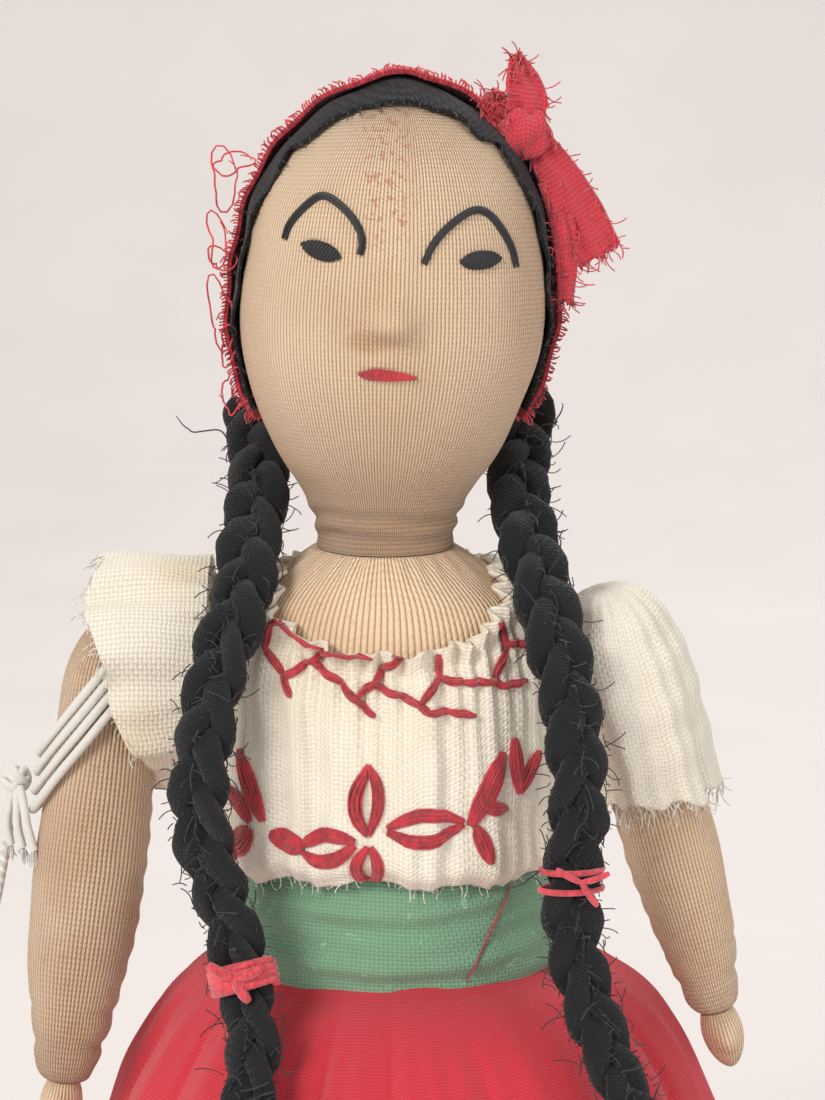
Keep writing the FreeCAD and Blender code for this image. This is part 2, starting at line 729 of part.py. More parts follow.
# ---------------------------------------------------------------- all the pieces

def build():
    os.makedirs("parts", exist_ok=True)
    wire = shoulder_rod()
    peg = neck_peg()
    save(tube(torso_rings(0.0), torso_rings(knit_cloth)).cut(wire), "body_cover")
    save(stack(torso_rings(knit_cloth + layer_gap)).cut(peg).cut(wire), "body_stuffing")
    save(peg.cut(wire), "neck_dowel")
    save(wire, "shoulder_wire")
    beads = [Part.makeSphere(bead_radius, Vector(arm["side"] * arm["shoulder_x"], 0, rod_z)).cut(wire)
             for arm in ARMS.values()]
    save(Part.makeCompound(beads), "wire_beads")

    blouse = blouse_body()
    save(blouse, "blouse")
    save(stitches(FEATHER_STITCHES, blouse, floss_radius), "neckline_stitches")
    save(stitches(FLOWER_STITCHES, blouse, floss_radius), "flower_embroidery")
    save(band(0.0, waistband_height, waistband_ease, waistband_ease, waistband_cloth), "waistband")
    sash_ease = waistband_ease + waistband_cloth + layer_gap
    save(band(0.1, sash_height, sash_ease, sash_ease, sash_cloth), "waist_sash")
    save(skirt(), "skirt")

    head = head_solid(0.0)
    save(head_shell(-knit_cloth, 0.0), "head_cover")
    save(head_stuffing(), "head_stuffing")
    save(nose(head), "nose_pad")
    save(hair_cap(), "hair_cap")
    save(head_scarf(), "head_scarf")
    save(scarf_bow(head_solid(scarf_outer)), "scarf_bow")
    save(stitches(BROW_STITCHES, head, brow_radius), "brow_stitches")
    for places, half_width, half_height, node in ((EYES, eye_half_width, eye_half_height, "eye_stitches"),
                                                  (MOUTH, mouth_half_width, mouth_half_height,
                                                   "mouth_stitches")):
        rows = [row for place, tilt in places for row in satin_rows(place, half_width, half_height, tilt)]
        save(stitches(rows, head, satin_radius), node)
    for name, route in BRAID_ROUTES.items():
        save(route_tube(route, braid_radius, f"braid_{name}"), f"braid_{name}")
        save(braid_tie(name), f"braid_tie_{name}")

    for name, arm in ARMS.items():
        save(arm_cover(arm), f"arm_{name}_cover")
        save(arm_stuffing(arm), f"arm_{name}_stuffing")
        save(hand(arm), f"hand_{name}")
    save(cap_sleeve(ARMS["right"]), "sleeve_right")
    save(bell_sleeve(ARMS["left"]), "sleeve_left")
    save(string_loop(ARMS["right"]), "string_loop")
    save(string_knot(ARMS["right"]), "string_knot")
    save(route_tube(STRING_TAIL, string_radius, "string_tail"), "string_tail")


build()
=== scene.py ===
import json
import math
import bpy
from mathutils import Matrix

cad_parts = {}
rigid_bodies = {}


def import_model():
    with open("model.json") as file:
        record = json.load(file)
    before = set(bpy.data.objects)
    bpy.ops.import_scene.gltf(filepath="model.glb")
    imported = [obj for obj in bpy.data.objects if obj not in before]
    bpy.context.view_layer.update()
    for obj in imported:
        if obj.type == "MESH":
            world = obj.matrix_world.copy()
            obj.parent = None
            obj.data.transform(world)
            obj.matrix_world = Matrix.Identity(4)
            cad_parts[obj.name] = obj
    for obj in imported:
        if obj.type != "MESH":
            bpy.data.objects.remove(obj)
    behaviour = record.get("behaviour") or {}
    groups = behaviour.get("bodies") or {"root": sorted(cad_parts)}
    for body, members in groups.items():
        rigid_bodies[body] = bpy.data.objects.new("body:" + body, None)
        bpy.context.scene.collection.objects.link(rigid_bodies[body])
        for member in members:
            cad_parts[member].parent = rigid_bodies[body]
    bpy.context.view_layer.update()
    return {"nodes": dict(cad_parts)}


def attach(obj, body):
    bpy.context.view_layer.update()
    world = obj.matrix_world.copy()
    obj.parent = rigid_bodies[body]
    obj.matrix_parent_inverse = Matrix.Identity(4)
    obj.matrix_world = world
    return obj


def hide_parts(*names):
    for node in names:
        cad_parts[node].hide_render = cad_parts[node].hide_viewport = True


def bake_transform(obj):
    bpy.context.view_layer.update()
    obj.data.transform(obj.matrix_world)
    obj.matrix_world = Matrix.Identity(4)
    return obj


bl_info = {
    "name": "Cloth doll puppet",
    "version": (1, 0, 0),
    "blender": (4, 5, 0),
    "location": "View3D > Sidebar > Puppet",
    "description": "Dresses a stuffed puppet figure: knit skin, stitched face, braids, blouse, "
                   "sash and skirt",
    "category": "Object",
}

import bmesh
import bpy
import numpy as np
from bpy.props import FloatProperty, FloatVectorProperty, IntProperty, PointerProperty
from mathutils import Matrix, Vector
from mathutils.bvhtree import BVHTree

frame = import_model()
NODES = frame["nodes"]
MM = 0.001

# Lengths from here on are in millimetres, in the frame's own axes: +Z up, the face towards -Y.
# They are the model's own sizes.
WAIST_Z = 108.0
TORSO_LENGTH = 46.2
NECK_Z = 154.2
CROWN_Z = 202.4
HEAD_HEIGHT = 48.2
HEAD_HALF_WIDTH = 16.2
HEAD_RATIO = 14.8 / 16.2
HEAD_LEAN = math.tan(math.radians(1.9))
HEAD_OFFSET = -0.35
WIRE_Z = 142.9
ARMHOLE_X = 18.9
FULL_TURN = 2 * math.pi
FORWARD = (0, -1, 0)
HEAD_CENTRE_Z = 183.0            # directions over the head start here
WAIST_HALF_WIDTH = 17.5
HEM_RADIUS = 55.0
SASH_REACH = 2.3                 # the skirt's top, outside the waist
SKIRT_SWAY = 2.6                 # the bell leans to the figure's left below the waist
LOOP_HEIGHT = 4.9                # the string loop's middle, down the arm from the wire
LOOP_SLANT = 57.0                # degrees
LOOP_REACH = 6.0 + 0.35 + 0.5    # the arm at its widest, a clearance and half the string
CAMERA_PLACE = (0.0026, -0.2650, 0.2051)
CAMERA_DOWN = 11                 # degrees
CAMERA_LENS = 82.18

HEAD_OUTLINE = [(0.0, 7.4), (0.05, 7.4), (0.130, 9.0), (0.200, 11.6), (0.276, 13.4), (0.400, 15.5),
                (0.490, 16.2), (0.606, 15.9), (0.737, 14.8), (0.842, 12.6), (0.925, 9.1), (0.975, 5.3)]
TORSO_OUTLINE = [(0.00, 17.5, 12.0), (0.12, 16.4, 11.6), (0.27, 15.4, 11.3), (0.42, 16.6, 12.0),
                 (0.60, 17.5, 12.0), (0.76, 17.1, 11.2), (0.87, 15.2, 9.7), (0.94, 11.6, 8.4),
                 (1.00, 7.4, 6.8)]
SKIRT_OUTLINE = [(0.000, 0.000, 0.74), (0.012, 0.100, 0.74), (0.035, 0.195, 0.77), (0.065, 0.270, 0.81),
                 (0.120, 0.365, 0.86), (0.240, 0.510, 0.90), (0.425, 0.680, 0.94), (0.675, 0.850, 0.98),
                 (0.925, 0.975, 1.00), (1.000, 1.000, 1.00)]
ARMS = {
    "right": {"side": -1, "shoulder_x": 29.4, "length": 47.2, "splay": 7.0, "swing": 11.0, "cap": 5.2,
              "outline": [(0.0, 5.3), (0.22, 5.5), (0.45, 6.0), (0.62, 6.0), (0.78, 5.1), (0.92, 3.9)],
              "wrist": 2.9},
    "left": {"side": 1, "shoulder_x": 24.6, "length": 42.9, "splay": 16.0, "swing": 0.0, "cap": 4.8,
             "outline": [(0.0, 4.9), (0.22, 5.15), (0.45, 5.3), (0.62, 5.1), (0.80, 4.3), (0.93, 3.4)],
             "wrist": 2.6},
}
BRAID_ROUTES = {
    "right": [(-15.3, 13.4, 168.2), (-13.9, 5.6, 161.6), (-14.2, -2.8, 155.6), (-15.9, -10.2, 149.0),
              (-18.2, -14.9, 140.9), (-19.6, -16.9, 132.0), (-18.4, -17.6, 123.4),
              (-15.4, -18.6, 115.6),
              (-13.5, -21.8, 107.4), (-14.3, -26.8, 99.2), (-17.0, -31.2, 90.6), (-20.2, -34.4, 82.6)],
    "left": [(15.6, 13.4, 168.6), (13.9, 5.6, 162.0), (14.5, -3.0, 156.0), (16.7, -10.2, 149.2),
             (19.0, -14.6, 141.0), (19.8, -16.6, 132.2), (18.9, -17.2, 123.6), (19.2, -18.2, 115.3),
             (21.6, -21.0, 107.6), (25.0, -24.6, 100.2), (28.4, -28.0, 92.4), (31.0, -31.0, 84.4)],
}
STRING_ROUTE = [(-40.7, -2.1, 126.9), (-42.4, -2.8, 116.3), (-45.6, -3.7, 105.0), (-49.4, -4.6, 93.5),
                (-53.0, -5.5, 80.5), (-56.0, -5.3, 66.5), (-57.9, -4.9, 51.5), (-58.6, -4.4, 36.5)]

FEATHER_STITCHES = [
    [(-7.6, 148.2), (-9.7, 149.2), (-12.3, 147.4), (-12.8, 144.9), (-10.9, 142.3), (-10.2, 140.5)],
    [(-10.8, 142.1), (-8.0, 144.0), (-6.2, 145.3), (-2.9, 145.2)],
    [(-7.7, 143.8), (-4.7, 142.0), (-3.2, 140.3), (-1.5, 138.9)],
    [(-3.0, 140.8), (-1.3, 142.2), (-0.5, 143.5), (1.3, 144.5)],
    [(-1.2, 141.8), (1.2, 140.9), (3.4, 140.0), (4.3, 139.2), (6.5, 139.1), (8.9, 138.5)],
    [(3.6, 140.3), (5.3, 142.4), (5.4, 144.6)],
    [(5.5, 142.4), (7.9, 141.9), (10.8, 141.7), (12.1, 141.0), (14.5, 141.1)],
    [(11.2, 141.9), (12.5, 144.9), (11.8, 147.6)],
    [(12.6, 145.2), (15.2, 144.7)],
]
# Satin petals: the line of the petal and its half width.
PETALS = [
    ([(-2.1, 126.5), (-3.4, 128.6), (-3.3, 131.2), (-1.9, 133.8)], 0.55),
    ([(-1.9, 133.8), (-1.0, 131.8), (-0.9, 129.2), (-1.9, 126.5)], 0.45),
    ([(-2.1, 125.4), (-3.4, 123.6), (-3.0, 121.8), (-1.7, 120.3)], 0.50),
    ([(-1.7, 125.4), (-0.9, 123.6), (-1.0, 121.8), (-1.6, 120.3)], 0.45),
    ([(-12.3, 125.6), (-10.6, 125.2), (-8.7, 124.5)], 1.00),
    ([(-8.9, 124.9), (-6.4, 126.8), (-3.3, 126.0)], 0.60),
    ([(-8.9, 124.2), (-6.4, 123.2), (-3.3, 125.6)], 0.60),
    ([(-0.1, 127.2), (3.9, 129.0), (7.9, 127.6)], 0.55),
    ([(-0.1, 126.8), (3.9, 125.4), (7.9, 127.2)], 0.55),
    ([(8.6, 127.0), (10.6, 130.6), (12.0, 134.2)], 0.95),
    ([(9.9, 129.0), (12.4, 128.2)], 0.60),
    ([(9.2, 126.9), (10.9, 122.9)], 0.70),
    ([(13.2, 135.5), (13.8, 129.6)], 0.60),
    ([(13.9, 129.6), (16.0, 133.6)], 0.55),
    ([(-15.6, 133.6), (-14.6, 130.2), (-13.1, 126.8)], 0.85),
    ([(-17.0, 129.3), (-14.5, 126.4)], 0.75),
    ([(-14.5, 125.8), (-15.4, 124.2), (-16.8, 121.8)], 0.95),
]
BROWS = [
    [(-10.3, 187.5), (-9.8, 189.1), (-7.9, 191.1), (-6.3, 192.2), (-4.2, 190.8), (-2.8, 189.1),
     (-2.3, 187.6), (-2.6, 186.2)],
    [(3.7, 185.3), (4.6, 187.3), (6.4, 189.2), (8.8, 190.7), (10.3, 190.1), (11.7, 188.3),
     (12.7, 186.4), (13.1, 184.6)],
]
EYES = [((-6.5, 186.5), -20.0), ((9.4, 185.5), 0.0)]
MOUTH = ((0.1, 174.2), -6.0)
NOSE = (1.1, 179.3)


# ---------------------------------------------------------------- sizes and colours to change

def colour(name, words, value):
    return FloatVectorProperty(name=name, description=words, subtype="COLOR", size=3, min=0.0, max=1.0,
                               default=tuple(linear(channel) for channel in value))


def linear(channel):
    share = channel / 255
    return share / 12.92 if share <= 0.04045 else ((share + 0.055) / 1.055) ** 2.4


class PuppetClothSizes(bpy.types.PropertyGroup):
    wale_pitch: FloatProperty(name="Wale pitch", description="Distance between the ribs of the knit",
                              default=0.00041, min=0.0002, max=0.002, precision=5, unit="LENGTH")
    muslin_pitch: FloatProperty(name="Muslin pitch",
                                description="Distance between the muslin's threads",
                                default=0.00048, min=0.0002, max=0.002, precision=5, unit="LENGTH")
    skirt_pitch: FloatProperty(name="Skirt pitch", description="Distance between the skirt's threads",
                               default=0.00036, min=0.0002, max=0.002, precision=5, unit="LENGTH")
    pleat_count: IntProperty(name="Pleats", description="Folds round the skirt", default=17, min=6,
                             max=40)
    pleat_depth: FloatProperty(name="Pleat depth", description="How deep the folds are at the hem",
                               default=0.0042, min=0.0, max=0.01, precision=4, unit="LENGTH")
    gather_count: IntProperty(name="Gathers", description="Small folds round the blouse", default=46,
                              min=8,
                              max=90)


class PuppetThreadSizes(bpy.types.PropertyGroup):
    floss_radius: FloatProperty(name="Floss radius",
                                description="Half the thickness of one strand of floss",
                                default=0.00021, min=0.0001, max=0.001, precision=5, unit="LENGTH")
    string_radius: FloatProperty(name="String radius",
                                 description="Half the thickness of the white string",
                                 default=0.0005, min=0.0002, max=0.002, precision=5, unit="LENGTH")
    fray_length: FloatProperty(name="Fray length",
                               description="Usual length of the threads on a torn edge",
                               default=0.0022, min=0.0, max=0.01, precision=4, unit="LENGTH")
    braid_pitch: FloatProperty(name="Braid pitch", description="Length of one full turn of a braid",
                               default=0.0165, min=0.005, max=0.05, precision=4, unit="LENGTH")


class PuppetColours(bpy.types.PropertyGroup):
    skin: colour("Knit", "Ribbed stockinette of the head and arms", (245, 212, 176))
    # skin_shade is the knit's soiled colour and also its painted shade: on the head's sides, chin and
    # neck, under the nose, and in the knit's grooves.
    skin_shade: colour("Knit, soiled and shaded", "The knit where it is soiled, and its painted shade", (192, 134, 92))
    muslin: colour("Muslin", "Cloth of the blouse", (250, 241, 224))
    stain: colour("Stain", "Yellowed places on the blouse and sleeves", (222, 194, 128))
    red_floss: colour("Red floss", "Embroidery thread", (190, 34, 50))
    black_floss: colour("Black floss", "Thread of the brows and eyes", (24, 24, 27))
    sash: colour("Sash", "Pale green cloth at the waist", (132, 176, 143))
    skirt: colour("Skirt", "Red pleated cloth", (240, 50, 70))
    black_cloth: colour("Black cloth", "Cap and braids", (25, 26, 30))
    scarf: colour("Scarf", "Red frayed cloth behind the cap", (226, 62, 78))
    string: colour("String", "White string", (240, 237, 230))
    floor: colour("Floor", "Plain pale floor", (236, 231, 228))


def sizes():
    return bpy.context.scene.puppet_cloth


def threads_of():
    return bpy.context.scene.puppet_threads


def colours():
    return bpy.context.scene.puppet_colours


# ---------------------------------------------------------------- shader maths

class Value:
    """A shader socket that can be used in sums."""

    def __init__(self, finish, socket):
        self.finish = finish
        self.socket = socket

    def maths(self, operation, *others):
        return self.finish.node("ShaderNodeMath", {"operation": operation}, [self, *others])

    def __add__(self, other):
        return self.maths("ADD", other)

    __radd__ = __add__

    def __mul__(self, other):
        return self.maths("MULTIPLY", other)

    __rmul__ = __mul__

    def __sub__(self, other):
        return self.maths("SUBTRACT", other)

    def __rsub__(self, other):
        return self.finish.node("ShaderNodeMath", {"operation": "SUBTRACT"}, [other, self])

    def __truediv__(self, other):
        return self.maths("DIVIDE", other)

    def sine(self):
        return self.maths("SINE")

    def size(self):
        return self.maths("ABSOLUTE")

    def part(self):
        return self.maths("FRACT")

    def whole(self):
        return self.maths("FLOOR")

    def most(self, other):
        return self.maths("MAXIMUM", other)

    def between(self, low, high):
        """0 below low, 1 above high, smooth between."""
        return self.finish.node("ShaderNodeMapRange", {"interpolation_type": "SMOOTHSTEP"},
                                {"Value": self, "From Min": low, "From Max": high})


class Finish:
    """One material, built node by node."""

    def __init__(self, name, roughness=0.85, sheen=0.25, specular=0.25):
        self.material = bpy.data.materials.new(name)
        self.material.use_nodes = True
        self.tree = self.material.node_tree
        self.tree.nodes.clear()
        self.shader = self.tree.nodes.new("ShaderNodeBsdfPrincipled")
        output = self.tree.nodes.new("ShaderNodeOutputMaterial")
        self.tree.links.new(self.shader.outputs["BSDF"], output.inputs["Surface"])
        self.shader.inputs["Roughness"].default_value = roughness
        self.shader.inputs["Sheen Weight"].default_value = sheen
        self.shader.inputs["Sheen Roughness"].default_value = 0.6
        self.shader.inputs["Specular IOR Level"].default_value = specular

    def node(self, kind, settings=None, values=(), output=0):
        node = self.tree.nodes.new(kind)
        for name, value in (settings or {}).items():
            if name == "stops":
                set_stops(node.color_ramp, value)
            else:
                setattr(node, name, value)
        pairs = values.items() if isinstance(values, dict) else enumerate(values)
        for name, value in pairs:
            self.feed(node.inputs[name], value)
        return Value(self, node.outputs[output])

    def feed(self, socket, value):
        if isinstance(value, Value):
            self.tree.links.new(value.socket, socket)
        else:
            socket.default_value = value

    def blend(self, share, low, high, kind="MIX"):
        mixed = self.tree.nodes.new("ShaderNodeMix")
        mixed.data_type = "RGBA"
        mixed.blend_type = kind
        for index, value in ((0, share), (6, rgba(low)), (7, rgba(high))):
            self.feed(mixed.inputs[index], value)
        return Value(self, mixed.outputs[2])

    def uv(self):
        """Metres along and across the cloth."""
        place = self.node("ShaderNodeTexCoord", output="UV")
        split = self.tree.nodes.new("ShaderNodeSeparateXYZ")
        self.tree.links.new(place.socket, split.inputs[0])
        return Value(self, split.outputs[0]), Value(self, split.outputs[1])

    def place(self):
        return self.node("ShaderNodeTexCoord", output="Object")

    def axis(self, index):
        split = self.tree.nodes.new("ShaderNodeSeparateXYZ")
        self.tree.links.new(self.place().socket, split.inputs[0])
        return Value(self, split.outputs[index])

    def noise(self, scale, detail=3.0, roughness=0.55, stretch=None):
        where = self.place()
        if stretch:
            where = self.node("ShaderNodeMapping", {}, {"Vector": where, "Scale": stretch})
        return self.node("ShaderNodeTexNoise", {}, {"Vector": where, "Scale": scale, "Detail": detail,
                                                    "Roughness": roughness})

    def finish(self, base, height, distance, strength=1.0, roughness=None):
        self.feed(self.shader.inputs["Base Color"], base)
        bump = self.node("ShaderNodeBump", {}, {"Height": height, "Distance": distance,
                                                "Strength": strength})
        self.feed(self.shader.inputs["Normal"], bump)
        if roughness is not None:
            self.feed(self.shader.inputs["Roughness"], roughness)
        return self.material


def set_stops(ramp, stops):
    for index, (position, shade) in enumerate(stops):
        element = ramp.elements[index] if index < 2 else ramp.elements.new(position)
        element.position = position
        element.color = rgba(shade)


def rgba(value):
    return value if isinstance(value, Value) else (*tuple(value)[:3], 1.0)


def darker(tone, share):
    return tuple(channel * share for channel in tone)


FINISHES = {}


def kept(build):
    """Each finish is made once."""
    def wrapped():
        if build.__name__ not in FINISHES:
            FINISHES[build.__name__] = build()
        return FINISHES[build.__name__]
    return wrapped


def knit(name, tone, shade, wale, soil=0.45):
    """Ribbed stockinette: upright wales of small V stitches."""
    cloth = Finish(name, roughness=0.9, sheen=0.3)
    across, along = cloth.uv()
    wobble = cloth.noise(260.0, 2.0) * (0.28 * wale)
    rib = ((across + wobble) / wale).part() - 0.5
    slope = rib.size() * 2.0
    ridge = 1.0 - slope * slope
    loops = ((along / (wale * 1.25) + slope * 0.5) * FULL_TURN).sine() * 0.5 + 0.5
    height = ridge * 0.75 + ridge * loops * 0.45
    patches = cloth.noise(55.0, 4.0).between(0.42, 0.72)
    fuzz = cloth.noise(900.0, 2.0)
    groove_shade = slope.between(0.62, 1.0)
    base = cloth.blend(patches * soil, tone, shade)
    # Painted shade in the grooves between the wales, and a painted highlight on the tops of the loops.
    base = cloth.blend(groove_shade * 0.7, base, darker(shade, 0.72))
    base = cloth.blend(loops * ridge * 0.45, base, tuple(min(1.0, c * 1.25) for c in tone))
    base = cloth.blend(fuzz.between(0.55, 0.75) * 0.18, base, darker(shade, 0.9))
    return cloth.finish(base, height + fuzz * 0.25, 0.0002, 1.0)


def woven(name, tone, pitch, contrast=0.35, stain=None, stain_share=0.0, sheen=0.2, crumple=0.3,
          fleck=None, roughness=0.88, slub=0.35):
    """Plain weave with uneven threads."""
    cloth = Finish(name, roughness=roughness, sheen=sheen)
    across, along = cloth.uv()
    wobble = cloth.noise(300.0, 2.0) * (0.5 * pitch)
    warp = (across + wobble) / pitch
    weft = (along + wobble) / pitch
    warp_ridge = (warp * math.pi).sine().size()
    weft_ridge = (weft * math.pi).sine().size()
    over = ((weft + warp.whole()) * math.pi).sine()
    threads = (warp_ridge * (over * 0.45 + 0.55)).most(weft_ridge * (0.55 - over * 0.45))
    slubs = cloth.noise(420.0, 3.0, stretch=(1.0, 1.0, 0.12)).between(0.35, 0.75)
    worn = cloth.noise(38.0, 4.0).between(0.4, 0.75)
    base = cloth.blend(threads, darker(tone, 1.0 - contrast), tone)
    base = cloth.blend(slubs * slub, base, darker(tone, 0.84))
    base = cloth.blend(worn * 0.22, base, tuple(min(1.0, c * 1.12 + 0.01) for c in tone))
    if stain is not None:
        spots = cloth.noise(24.0, 5.0).between(0.5, 0.66)
        base = cloth.blend(spots * stain_share, base, stain)
    if fleck is not None:
        specks = cloth.noise(700.0, 2.0).between(0.66, 0.72)
        base = cloth.blend(specks * 0.6, base, fleck)
    folds = cloth.noise(150.0, 3.0)
    return cloth.finish(base, threads * 0.5 + folds * crumple * 3.0, 0.00022, 0.9)


def floss(name, tone, sheen=0.35):
    """Stranded thread: fine fibres along each stitch, with a slight gloss."""
    cloth = Finish(name, roughness=0.55, sheen=sheen, specular=0.4)
    fibres = cloth.noise(2600.0, 3.0, stretch=(1.0, 1.0, 0.35))
    shades = cloth.noise(500.0, 2.0)
    base = cloth.blend(fibres.between(0.35, 0.65), darker(tone, 0.55), tone)
    base = cloth.blend(shades.between(0.45, 0.7) * 0.5, base, tuple(min(1.0, c * 1.35) for c in tone))
    return cloth.finish(base, fibres, 0.00008, 0.8)


@kept
def head_knit():
    tones = colours()
    cloth = Finish("Knit, head", roughness=0.9, sheen=0.3)
    wale = sizes().wale_pitch
    across, along = cloth.uv()
    wobble = cloth.noise(240.0, 2.0) * (0.3 * wale)
    rib = ((across + wobble) / wale).part() - 0.5
    slope = rib.size() * 2.0
    ridge = 1.0 - slope * slope
    loops = ((along / (wale * 1.2) + slope * 0.5) * FULL_TURN).sine() * 0.5 + 0.5
    height_up = cloth.axis(2)
    # Painted shade: the neck darker under the chin, both sides of the head darker where the light falls
    # off, and the lower face and chin darker towards the bottom.
    neck = 1.0 - height_up.between(0.1565, 0.1625)
    side = cloth.axis(0).size().between(0.010, 0.0165)
    chin_shade = (1.0 - height_up.between(0.160, 0.176)) * 0.5
    patches = cloth.noise(60.0, 4.0).between(0.4, 0.75)
    fuzz = cloth.noise(1000.0, 2.0)
    forehead = height_up.between(0.184, 0.190) * (1.0 - cloth.axis(0).size().between(0.0015, 0.0035))
    specks = cloth.noise(1600.0, 1.0).between(0.56, 0.64) * forehead
    beside = (cloth.axis(0) + 0.0016) / 0.0024
    below = (height_up - 0.1776) / 0.0013
    nose_shade = (1.0 - (beside * beside + below * below).between(0.1, 1.6)) * (
        1.0 - cloth.axis(1).between(-0.010, -0.006))
    base = cloth.blend(patches * 0.5, tones.skin, tones.skin_shade)
    base = cloth.blend(side * 0.55, base, tones.skin_shade)
    base = cloth.blend(nose_shade * 0.55, base, tones.skin_shade)
    base = cloth.blend(chin_shade, base, tones.skin_shade)
    base = cloth.blend(neck * 0.7, base, darker(tones.skin_shade, 0.75))
    # Painted shade in the grooves between the wales, and a painted highlight on the tops of the loops.
    base = cloth.blend(slope.between(0.5, 1.0) * 0.6, base, darker(tones.skin_shade, 0.78))
    base = cloth.blend(loops * ridge * 0.55, base, tuple(min(1.0, c * 1.3) for c in tones.skin))
    base = cloth.blend(specks * 0.4, base, tones.red_floss)
    return cloth.finish(base, ridge * 0.75 + ridge * loops * 0.6 + fuzz * 0.3, 0.0002, 1.0)


@kept
def chest_knit():
    return knit("Knit, chest", colours().skin, colours().skin_shade, sizes().wale_pitch * 1.6, 0.3)


@kept
def shaded_right_arm_knit():
    # Painted shade: this arm's knit is a darker copy of the other arm's, for the arm that is in shade.
    tones = colours()
    return knit("Knit, right arm, shaded", darker(tones.skin, 0.74), darker(tones.skin_shade, 0.8),
                sizes().wale_pitch * 1.15, 0.6)


@kept
def left_arm_knit():
    return knit("Knit, left arm", colours().skin, colours().skin_shade, sizes().wale_pitch * 1.15, 0.4)


@kept
def hand_knit():
    return knit("Knit, hands", tuple(min(1.0, c * 1.08) for c in colours().skin), colours().skin_shade,
                sizes().wale_pitch * 1.1, 0.35)


@kept
def blouse_muslin():
    return woven("Muslin", colours().muslin, sizes().muslin_pitch, 0.24, colours().stain, 0.12,
                 crumple=0.45)


@kept
def stained_and_shaded_muslin():
    # The right sleeve's muslin: the blouse's stains, plus heavier yellow-brown patches and a darker
    # weave that are painted shade on that sleeve.
    return woven("Muslin, stained and shaded", colours().muslin, sizes().muslin_pitch, 0.3, colours().stain, 0.6,
                 crumple=0.45)


@kept
def sash_cloth():
    tone = colours().sash
    return woven("Sash cloth", tone, sizes().muslin_pitch * 0.9, 0.4, darker(tone, 0.55), 0.25,
                 crumple=0.5,
                 fleck=tuple(min(1.0, c * 1.4) for c in tone))


@kept
def skirt_cloth():
    tone = colours().skirt
    return woven("Skirt cloth", tone, sizes().skirt_pitch, 0.42, darker(tone, 0.6), 0.2, crumple=0.5,
                 sheen=0.25)


@kept
def black_cloth():
    tone = colours().black_cloth
    return woven("Black cloth", tone, sizes().muslin_pitch * 0.95, 0.55, crumple=0.5, sheen=0.12)


@kept
def red_cloth():
    return woven("Scarf cloth", colours().scarf, sizes().muslin_pitch * 1.05, 0.5,
                 darker(colours().scarf, 0.7),
                 0.25, crumple=0.5, sheen=0.3)


@kept
def red_floss():
    return floss("Red floss", colours().red_floss)


@kept
def black_floss():
    return floss("Black floss", colours().black_floss, 0.2)


@kept
def tie_cloth():
    return floss("Braid tie", colours().scarf, 0.4)


@kept
def black_fibre():
    return floss("Black fibres", colours().black_cloth, 0.2)


@kept
def red_fibre():
    return floss("Red fibres", colours().scarf, 0.3)


@kept
def cream_fibre():
    return floss("Cream fibres", colours().muslin, 0.3)


@kept
def string_cotton():
    """Laid string: slanting turns of soft cotton."""
    cloth = Finish("String", roughness=0.85, sheen=0.3)
    across, along = cloth.uv()
    turns = ((along / 0.0011 + across / 0.0032) * FULL_TURN).sine() * 0.5 + 0.5
    fuzz = cloth.noise(1500.0, 3.0)
    base = cloth.blend(turns, darker(colours().string, 0.66), colours().string)
    base = cloth.blend(fuzz.between(0.5, 0.75) * 0.3, base, darker(colours().string, 0.75))
    return cloth.finish(base, turns + fuzz * 0.5, 0.0002, 0.9)


@kept
def plain_cotton():
    """Cloth on the model's own pieces, which have no cloth coordinates."""
    cloth = Finish("Cotton under the sash", roughness=0.9)
    grain = cloth.noise(1400.0, 3.0)
    folds = cloth.noise(120.0, 3.0)
    base = cloth.blend(grain.between(0.4, 0.65), darker(colours().muslin, 0.7), colours().muslin)
    return cloth.finish(base, grain * 0.5 + folds, 0.0002)


@kept
def turned_wood():
    wood = Finish("Softwood", roughness=0.6, sheen=0.0)
    grain = wood.noise(300.0, 4.0, stretch=(1.0, 1.0, 0.08))
    base = wood.blend(grain.between(0.35, 0.7), (0.36, 0.21, 0.10), (0.62, 0.42, 0.23))
    return wood.finish(base, grain, 0.0001, 0.6)


@kept
def drawn_wire():
    wire = Finish("Steel wire", roughness=0.35, sheen=0.0)
    wire.shader.inputs["Metallic"].default_value = 1.0
    marks = wire.noise(900.0, 3.0, stretch=(0.05, 1.0, 1.0))
    base = wire.blend(marks.between(0.3, 0.7), (0.36, 0.36, 0.35), (0.6, 0.6, 0.58))
    return wire.finish(base, marks, 0.00005, 0.5, marks * 0.25 + 0.25)


# ---------------------------------------------------------------- mesh helpers

def rounded(points, rounds=4):
    """A smooth line near the points, with its ends kept."""
    line = np.array(points, float)
    for _ in range(rounds):
        first = line[:-1] * 0.75 + line[1:] * 0.25
        second = line[:-1] * 0.25 + line[1:] * 0.75
        inner = np.stack([first, second], 1).reshape(-1, line.shape[1])
        line = np.vstack([line[:1], inner, line[-1:]])
    return line


def spaced(line, count):
    """The same line with evenly spaced points."""
    line = np.array(line, float)
    along = np.concatenate([[0], np.cumsum(np.linalg.norm(np.diff(line, axis=0), axis=1))])
    at = np.linspace(0, along[-1], count)
    return np.stack([np.interp(at, along, line[:, k]) for k in range(line.shape[1])], 1)


def lumps(points, seed, scale):
    """Soft unevenness through space, from -1 to 1. Scale is in turns per millimetre."""
    chance = np.random.default_rng(seed)
    total = np.zeros(points.shape[:-1])
    for _ in range(7):
        total += np.sin(points @ chance.normal(size=3) * scale * FULL_TURN + chance.uniform(0,
                                                                                            FULL_TURN))
    return total / 4.0


